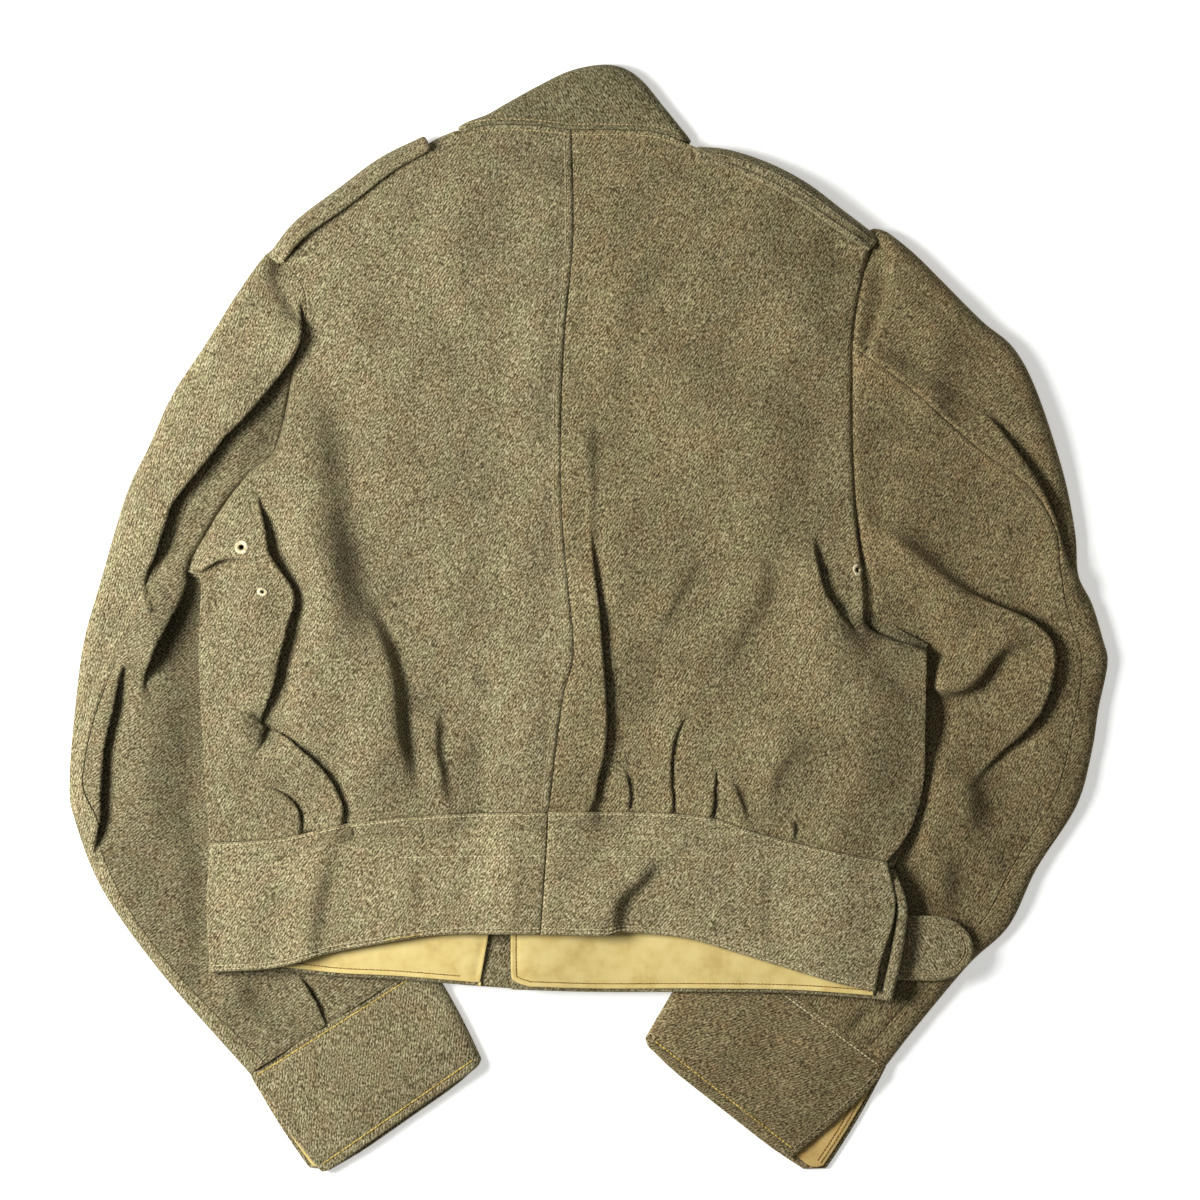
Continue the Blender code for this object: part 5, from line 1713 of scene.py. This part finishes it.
@dataclass
class Back:
    """Back panel and back waistband on top of the fronts."""

    half: Half
    room: Workroom
    loft: float = 8.0
    neck_height: float = 9.5
    strip: float = 5.6
    step: float = 4.2
    edge_height: float = 1.2
    tie: float = 40.0
    seed: int = 61

    def __post_init__(self) -> None:
        """Work out the seams on the plan."""
        self.waist = curve(self.half.waist)
        self.side = curve(self.half.side)
        self.armhole = curve(self.half.armhole)
        self.shoulder = curve(self.half.shoulder)
        self.neck = curve(self.half.neck)
        self.centre = curve(CENTRE_SEAM)
        self.hem = curve(self.half.hem)
        self.end = curve(self.half.band_end)
        self.band_seam = curve(BAND_SEAM)

    def holes(self) -> list[Array]:
        """Rings on the plan that the folds carry to the holes of the eyelets."""
        rings = []
        turn = np.linspace(0.0, 2 * np.pi, 20, endpoint=False)
        for eyelet in EYELETS:
            if eyelet.piece != "back_" + self.half.name:
                continue
            ring = np.array(eyelet.centre) + eyelet.stretch(circle(turn) * eyelet.hole)
            place = ring.copy()
            for _ in range(8):
                place = place + 0.8 * (ring - self.form(place)[:, :2])
            rings.append(place)
        return rings

    def edge_low(self, plan: Array) -> Array:
        """Heights to which the edges are rounded down."""
        return self.room.ground.rest(plan, 0.0) + self.edge_height

    def lie(self, plan: Array, wall: float) -> Array:
        """Middle surface before its edges: loft, swells and folds on the fronts, tied at the seams."""
        rest = self.room.ground.rest(plan, wall)
        loft = self.loft * (0.4 + 0.6 * smooth(near(self.shoulder, plan) / 60.0)) + swelled(SWELLS, plan)
        flat = rest + loft * (0.15 + 0.85 * smooth(near(self.side, plan) / 45.0))
        seam = smooth(near(self.armhole, plan) / 4.0)
        neck = smooth(1 - near(self.neck, plan) / 30.0)
        flat = tie_to_armhole(self.half, plan, flat + ripple(plan, self.seed, 1.3), self.tie)
        flat = flat + (self.neck_height - flat) * neck
        move = moved_by(BACK_WRINKLES, plan) * (seam * (1 - neck))[:, None]
        return with_height(plan + move[:, :2], np.maximum(flat + move[:, 2], rest + 0.3))

    def form(self, plan: Array) -> Array:
        """Panel: its lie, rounded down at the side and shoulder, with the strip of the centre seam."""
        points = self.lie(plan, SERGE)
        low = self.edge_low(plan)
        low += (1.6 * SERGE - low) * sag(self.half.sags, plan)
        edge = bend(near(self.side, plan)) * bend(near(self.shoulder, plan))
        points[:, 2] = low + (points[:, 2] - low) * edge
        hold_back(points, plan, edge)
        offset = from_line(self.centre, plan).offset
        waist = near(self.waist, plan)
        neck = near(self.neck, plan)
        hold_back(points, plan, smooth(waist / 10.0))
        if self.half.name == "left":
            points[:, 2] += 1.2 * smooth((self.strip + offset) / 1.4) * smooth(np.abs(offset) / 1.2)
            points[:, 2] -= 0.6 * groove(offset + self.strip, 1.2, 0.9)
        points[:, 2] -= 0.6 * groove(neck, 3.2, 1.2) + 0.8 * smooth(1 - waist / 4.0)
        points[:, 2] -= armhole_ditch(self.half, plan)
        return points

    def band_form(self, plan: Array) -> Array:
        """Waistband: its lie, rounded down at the end, with ditches under its rows of stitching."""
        points = self.lie(plan, BAND)
        flat = self.room.ground.rest(plan, BAND) + 1.0
        waist = near(self.waist, plan)
        hem = near(self.hem, plan)
        calm = smooth(waist / 13.0)
        hold_back(points, plan, smooth(waist / 10.0) * (1 - calm))
        loose = smooth(near(self.end, plan) / 45.0)
        points[:, 2] += (flat - 0.8 + 2.3 * loose - points[:, 2]) * (1 - 0.12 * loose) * calm
        points[:, 2] += moved_by(BAND_WRINKLES, plan)[:, 2] + 0.4
        points[:, 2] -= 0.8 * groove(hem, 3.6, 1.4) + 0.7 * groove(waist, 2.4, 1.4)
        low = self.edge_low(plan)
        points[:, 2] = low + (points[:, 2] - low) * bend(near(self.end, plan), 3.0)
        return points

    def build(self) -> None:
        """Make the panel and the waistband."""
        rows = rows_of(BACK_WRINKLES) + rolled(self.side) + rolled(self.shoulder)
        rows += beside(self.centre, [-self.strip + shift for shift in (-1.2, -0.4, 0.5, 1.2, 2.0, 3.4)])
        rows += both_sides(self.neck, (1.9, 3.2, 4.5)) + both_sides(self.armhole, ARMHOLE_ROWS)
        rows += both_sides(self.waist, (2.2, 4.5))
        loop = outline(self.waist, self.side, self.armhole, self.shoulder[::-1], self.neck[::-1],
                       self.centre[::-1])
        plan, faces = fill(draw_back(loop, SEAM_GAP + RIM), self.step, rows, self.holes())
        self.room.sew("back_" + self.half.name, self.form(plan), faces, SERGE, RIM)

        rim = 0.35 * BAND
        rows = rolled(self.end, 0.4 * ROLL) + rows_of(BAND_WRINKLES)
        rows += both_sides(self.hem, (2.0, 3.6, 5.2)) + both_sides(self.waist, (2.4, 4.2))
        loop = outline(self.waist, self.end, self.hem[::-1], self.band_seam[::-1])
        plan, faces = fill(draw_back(loop, SEAM_GAP + rim), self.step, rows)
        self.room.sew("waistband_back_" + self.half.name, self.band_form(plan), faces, BAND, rim)


class Yarn(Enum):
    """Threads in the sewing, each with its finish."""

    TAN = Thread("bfae82", "8f7f58")
    WOOL = Thread("a99e7c", "7d7354")
    PALE = Thread("cfc49c", "9c9068")
    BEIGE = Thread("eadfbd", "b3a67f")
    YELLOW = Thread("d6bd68", "a78d45")
    BROWN = Thread("a5813f", "7a5c2b")


def tubes(paths: Array, radius: Array, corners: int = 6) -> tuple[Array, list[list[int]]]:
    """Closed round threads along paths: rings of points across each path, joined up and capped.

    Args:
        paths: Points of each path, in mm.
        radius: Radius at each point of a path, in mm.
        corners: Points in a ring.

    Returns:
        Points and faces.
    """
    way = unit(np.gradient(paths, axis=1))
    across = unit(np.cross(way, (0.0, 0.0, 1.0)))
    up = np.cross(across, way)
    turn = np.linspace(0.0, 2 * np.pi, corners, endpoint=False)[:, None]
    ring = np.cos(turn) * across[:, :, None] + np.sin(turn) * up[:, :, None]
    points = paths[:, :, None] + radius[None, :, None, None] * ring
    number = np.arange(points[..., 0].size).reshape(points.shape[:3])
    after = np.roll(number, -1, axis=2)
    sides = four_sided(number[:, :-1], number[:, 1:], after[:, 1:], after[:, :-1])
    caps = np.vstack([number[:, 0], number[:, -1, ::-1]])
    return points.reshape(-1, 3), sides.tolist() + caps.tolist()


@dataclass(frozen=True)
class Eyelet:
    """Eyelet worked in thread round a hole, in mm, pressed out of round along one direction."""

    piece: str
    centre: tuple[float, float]
    hole: float
    outer: float
    press: float = 1.0
    turn: float = 0.0
    stitches: int = 24

    def stretch(self, ring: Array) -> Array:
        """Press a ring round the origin out of round."""
        way = circle(np.radians(self.turn))
        return ring + (self.press - 1.0) * (ring @ way)[:, None] * way

    def form(self, room: Workroom) -> tuple[Array, list[list[int]]]:
        """Ring of buttonhole stitches on the cloth: a flattened rim that swells at each stitch."""
        turn = np.linspace(0.0, 2 * np.pi, 6 * self.stitches, endpoint=False)
        around = np.linspace(0.0, 2 * np.pi, 10, endpoint=False)
        turn, around = (part.ravel() for part in np.meshgrid(turn, around, indexing="ij"))
        swell = 1.0 + 0.16 * np.cos(self.stitches * turn)
        reach = (self.hole + self.outer) / 2 + (self.outer - self.hole) / 2 * np.cos(around) * swell
        plan = self.stretch(circle(turn) * reach[:, None])
        probe = self.stretch(circle(turn[::10]) * (self.outer + 0.4))
        found, met = room.drop(self.piece, probe + np.array(self.centre))
        basis = np.column_stack([probe[met], np.ones(met.sum())])
        slope = np.linalg.lstsq(basis, found[met, 2], rcond=None)[0]
        height = plan @ slope[:2] + slope[2] + 0.3 + 0.9 * np.sin(around) * swell
        number = np.arange(len(turn)).reshape(-1, 10)
        on = np.roll(number, -1, axis=0)
        faces = four_sided(number, on, np.roll(on, -1, axis=1), np.roll(number, -1, axis=1))
        return with_height(plan + np.array(self.centre), height), faces.tolist()


EYELETS = (
    Eyelet("back_left", (-224.1, 47.1), 1.8, 4.7, 0.95, 30.0),
    Eyelet("back_left", (-210.5, 18.2), 1.2, 3.6, 0.8, 70.0, 16),
    Eyelet("back_right", (174.3, 32.5), 1.6, 4.1, 0.75, 15.0, 18),
)


@dataclass
class Needlework:
    """Sewing on the finished pieces, joined into one mesh for each piece and thread."""

    room: Workroom
    lift: float = 0.22
    parts: dict[tuple[str, Yarn], list[tuple[Array, list[list[int]]]]] = field(default_factory=dict)

    def add(self, piece: str, yarn: Yarn, made: tuple[Array, list[list[int]]]) -> None:
        """Keep the points and faces of some sewing for the piece and thread."""
        self.parts.setdefault((piece, yarn), []).append(made)

    def row(self, pieces: Iterable[str], yarn: Yarn, line: Any, pitch: float = 2.8,
            radius: float = 0.42) -> None:
        """Sew a row of stitches along a line on the plan.

        Each stitch is a short thread over three quarters of the pitch, whose ends dip into the cloth.

        Args:
            pieces: Pieces that the line crosses.
            yarn: Thread.
            line: Places on the plan, in mm.
            pitch: Length of a stitch with its gap, in mm.
            radius: Radius of the thread, in mm.
        """
        dense = curve(line, pitch / 4.0)
        count = len(dense) // 4
        pick = np.random.default_rng(count)
        for piece in pieces:
            points, met = self.room.drop(piece, dense[:4 * count])
            whole = met.reshape(count, 4).all(1)
            if not whole.any():
                continue
            path = points.reshape(count, 4, 3)[whole][:, [0, 0, 1, 2, 3, 3]]
            path[:, 0] += 0.15 * (path[:, 0] - path[:, 2])
            path[:, -1] += 0.15 * (path[:, -1] - path[:, -3])
            path[..., 2] += self.lift + radius * np.array([-1.3, -0.1, 0.3, 0.3, -0.1, -1.3])
            path[..., :2] += pick.normal(0.0, 0.07, (len(path), 6, 2))
            ring = radius * np.array([0.6, 0.95, 1.0, 1.0, 0.95, 0.6])
            self.add(piece, yarn, tubes(path, ring))

    def loose(self, piece: str, yarn: Yarn, line: Any, arch: float, radius: float = 0.28) -> None:
        """Lay a loose end of thread along a line on the plan, with its middle arched over the cloth."""
        dense = curve(line, 1.0)
        points, met = self.room.drop(piece, dense)
        points[:, :2] = dense
        points[~met, 2] = points[met, 2].mean()
        share = np.linspace(0.0, 1.0, len(dense))
        points[:, 2] += self.lift + arch * np.sin(np.pi * share)
        ring = radius * (0.5 + 0.5 * smooth(np.minimum(share, 1 - share) / 0.1))
        self.add(piece, yarn, tubes(points[None], ring))

    def collar_and_back(self) -> None:
        """Rows on both sides of the neck seam, at the centre strip and across the left strap's end."""
        seam = neck_seam(3)
        self.row(["collar"], Yarn.TAN, shifted(seam, -3.4))
        self.row(["back_left", "back_right"], Yarn.TAN, shifted(seam, 3.2))
        self.row(["back_left"], Yarn.WOOL, shifted(curve(CENTRE_SEAM), -4.6), 2.6, 0.34)
        end = ((-205, 239), (-197, 232), (-190, 220))
        self.row(["left_shoulder_strap", "back_left"], Yarn.PALE, end, 2.4)
        self.loose("collar", Yarn.PALE, ((-47.5, 318.5), (-45.5, 320.5), (-43, 319), (-42, 321.5)), 1.2)

    def straps(self) -> None:
        """Rows along both edges of the shoulder straps."""
        for half in (LEFT, RIGHT):
            strap = ShoulderStrap(half, self.room)
            for share in (0.3, 0.88):
                line = strap.form(np.stack([strap.share, np.full_like(strap.share, share)], -1))[2:-2, :2]
                self.row([half.name + "_shoulder_strap"], Yarn.WOOL, line, 2.6, 0.36)

    def waistband(self) -> None:
        """Rows at the waist seam, below it, inside the hem, down both ends, and on the facings and tab."""
        for half, turn in ((LEFT, 1.0), (RIGHT, -1.0)):
            band = ["waistband_back_" + half.name]
            self.row(band, Yarn.PALE, shifted(curve(half.waist), -1.9 * turn), 2.8, 0.4)
            for far in (1.9, 4.2):
                self.row(band, Yarn.PALE, shifted(curve(half.hem), far * turn), 2.8, 0.38)
            end = shifted(curve(half.band_end), 3.2 * turn)
            self.row(band, Yarn.YELLOW if half is RIGHT else Yarn.PALE, end, 2.7, 0.42)
            loop = closed(Front(half, self.room).facing_loop())
            inner = shifted(loop, -3.3)
            shown = inner[:, 1] < loop[:, 1].max() - 12.0
            if half is LEFT:
                shown &= inner[:, 0] < loop[:, 0].max() - 18.0
            self.row(["waistband_facing_" + half.name], Yarn.BROWN, unrolled(inner[shown]), 2.4, 0.34)
        both = ["waistband_back_left", "waistband_back_right"]
        self.row(both, Yarn.PALE, ((-122, -153.5), (-60, -152.5), (0, -152.5), (70, -153.5)), 3.0, 0.4)
        self.row(both, Yarn.WOOL, ((111, -169), (150, -171), (189, -173)), 3.6, 0.36)
        for line in beside(closed(WaistTab(self.room).loop), (-4.0, -5.8)):
            self.row(["waist_tab"], Yarn.TAN, unrolled(line[line[:, 0] > 204.0]), 2.5, 0.34)
        end = ((-133, -207), (-124, -205.5), (-116, -204.5), (-106, -202))
        self.loose("waistband_back_left", Yarn.YELLOW, end, 1.0)

    def cuffs(self) -> None:
        """Rows under the cuff seams, inside the hems and along the open vent."""
        for half, seam in ((LEFT, Yarn.YELLOW), (RIGHT, Yarn.PALE)):
            cuff = Cuff(half, self.room)
            name = half.name + "_cuff"
            for down in (0.03, 0.942):
                across = np.linspace(cuff.opening(down) + 0.025, 0.97, 60)
                line = cuff.place(np.stack([across, np.full_like(across, down)], -1))[0]
                self.row([name], Yarn.YELLOW if down > 0.5 else seam, line, 2.9, 0.5)
            down = np.linspace(0.06, 0.93, 40)
            edge = np.stack([cuff.opening(down) + 0.02, down], -1)
            self.row([name], Yarn.WOOL, cuff.place(edge)[0], 2.6, 0.36)
            for share in (0.028, 0.046):
                line = cuff.place(np.stack([np.full_like(down, share), down], -1))[0]
                self.row([name + "_facing"], Yarn.BROWN, line, 2.4, 0.3)
        self.loose("right_cuff", Yarn.PALE, ((40, -275), (37, -272), (39, -268), (43, -270), (41, -274)), 1.6)

    def build(self) -> None:
        """Sew everything and join it by piece and thread."""
        self.collar_and_back()
        self.straps()
        self.waistband()
        self.cuffs()
        for eyelet in EYELETS:
            self.add(eyelet.piece, Yarn.BEIGE, eyelet.form(self.room))
        for (piece, yarn), parts in self.parts.items():
            count = np.cumsum([0] + [len(points) for points, _ in parts])
            faces = [[corner + int(base) for corner in face]
                     for base, (_, own) in zip(count, parts) for face in own]
            name = "stitching_" + piece + "_" + yarn.name.lower()
            made = link_mesh(name, np.vstack([points for points, _ in parts]), faces, yarn.value)
            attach(made, "root")
            self.room.sewing[piece].append(made)
            LOG.info("%s: %d faces", name, len(faces))


def body_outline() -> Array:
    """Outline of the body on the plan, without the sleeves, drawn in a little."""
    edges = [curve(LEFT.hem), curve(LEFT.band_end)[::-1], curve(LEFT.side), curve(LEFT.armhole),
             curve(LEFT.shoulder)[::-1], curve(LEFT.neck)[::-1], curve(RIGHT.neck), curve(RIGHT.shoulder),
             curve(RIGHT.armhole)[::-1], curve(RIGHT.side)[::-1], curve(RIGHT.band_end),
             curve(RIGHT.hem)[::-1]]
    return draw_back(outline(*edges), 6.0)


@dataclass
class Studio:
    """Plain pale floor, soft light from the upper left and the camera straight above."""

    centre: tuple[float, float] = (0.0075, 0.013)
    camera_height: float = 4.0
    view_width: float = 0.78
    sensor: float = 36.0
    floor_reach: float = 9000.0
    floor_drop: float = 0.3

    def floor(self) -> None:
        """Lay the floor just under the cloth."""
        square = np.array([(-1.0, -1.0), (1.0, -1.0), (1.0, 1.0), (-1.0, 1.0)]) * self.floor_reach
        corners = with_height(square, np.full(len(square), -self.floor_drop))
        link_mesh("floor", corners, [[0, 1, 2, 3]], Paper())

    def lamp(self, name: str, place: tuple[float, float, float], size: float, power: float) -> None:
        """Hang a square soft lamp that faces the tunic."""
        light = bpy.data.lights.new(name, "AREA")
        light.size = size
        light.energy = power
        made = bpy.data.objects.new(name, light)
        made.location = place
        made.rotation_euler = (-Vector(place)).to_track_quat("-Z", "Y").to_euler()
        bpy.context.scene.collection.objects.link(made)

    def build(self) -> None:
        """Set the floor, the light and the camera."""
        self.floor()
        scene = bpy.context.scene
        scene.view_settings.view_transform = "Standard"
        world = bpy.data.worlds.new("studio")
        scene.world = world
        world.use_nodes = True
        shade = world.node_tree.nodes["Background"]
        shade.inputs["Color"].default_value = linear("ffffff")
        shade.inputs["Strength"].default_value = 0.075
        self.lamp("key_lamp", (-1.02, 0.08, 1.0), 0.6, 33.0)
        self.lamp("top_lamp", (-0.1, 0.1, 4.6), 3.0, 18.0)
        camera = bpy.data.objects.new("camera", bpy.data.cameras.new("camera"))
        camera.data.sensor_width = self.sensor
        camera.data.lens = self.sensor * self.camera_height / self.view_width
        camera.location = (*self.centre, self.camera_height)
        scene.collection.objects.link(camera)
        scene.camera = camera


def main() -> None:
    """Lay the pieces from the floor up, sew them and light them."""
    logging.basicConfig(level=logging.INFO, format="%(message)s")
    room = Workroom()
    body = room.ground.mask(body_outline())
    for half in (LEFT, RIGHT):
        Sleeve(half, room, body).build()
        Cuff(half, room).build()
        ShoulderStrap(half, room).build()
    Collar(room).build()
    WaistTab(room).build()
    for half in (LEFT, RIGHT):
        Front(half, room).build()
    room.ground.settle(16.0)
    for half in (LEFT, RIGHT):
        Back(half, room).build()
    Needlework(room).build()
    room.declare()
    Studio().build()


if __name__ == "__main__":
    main()
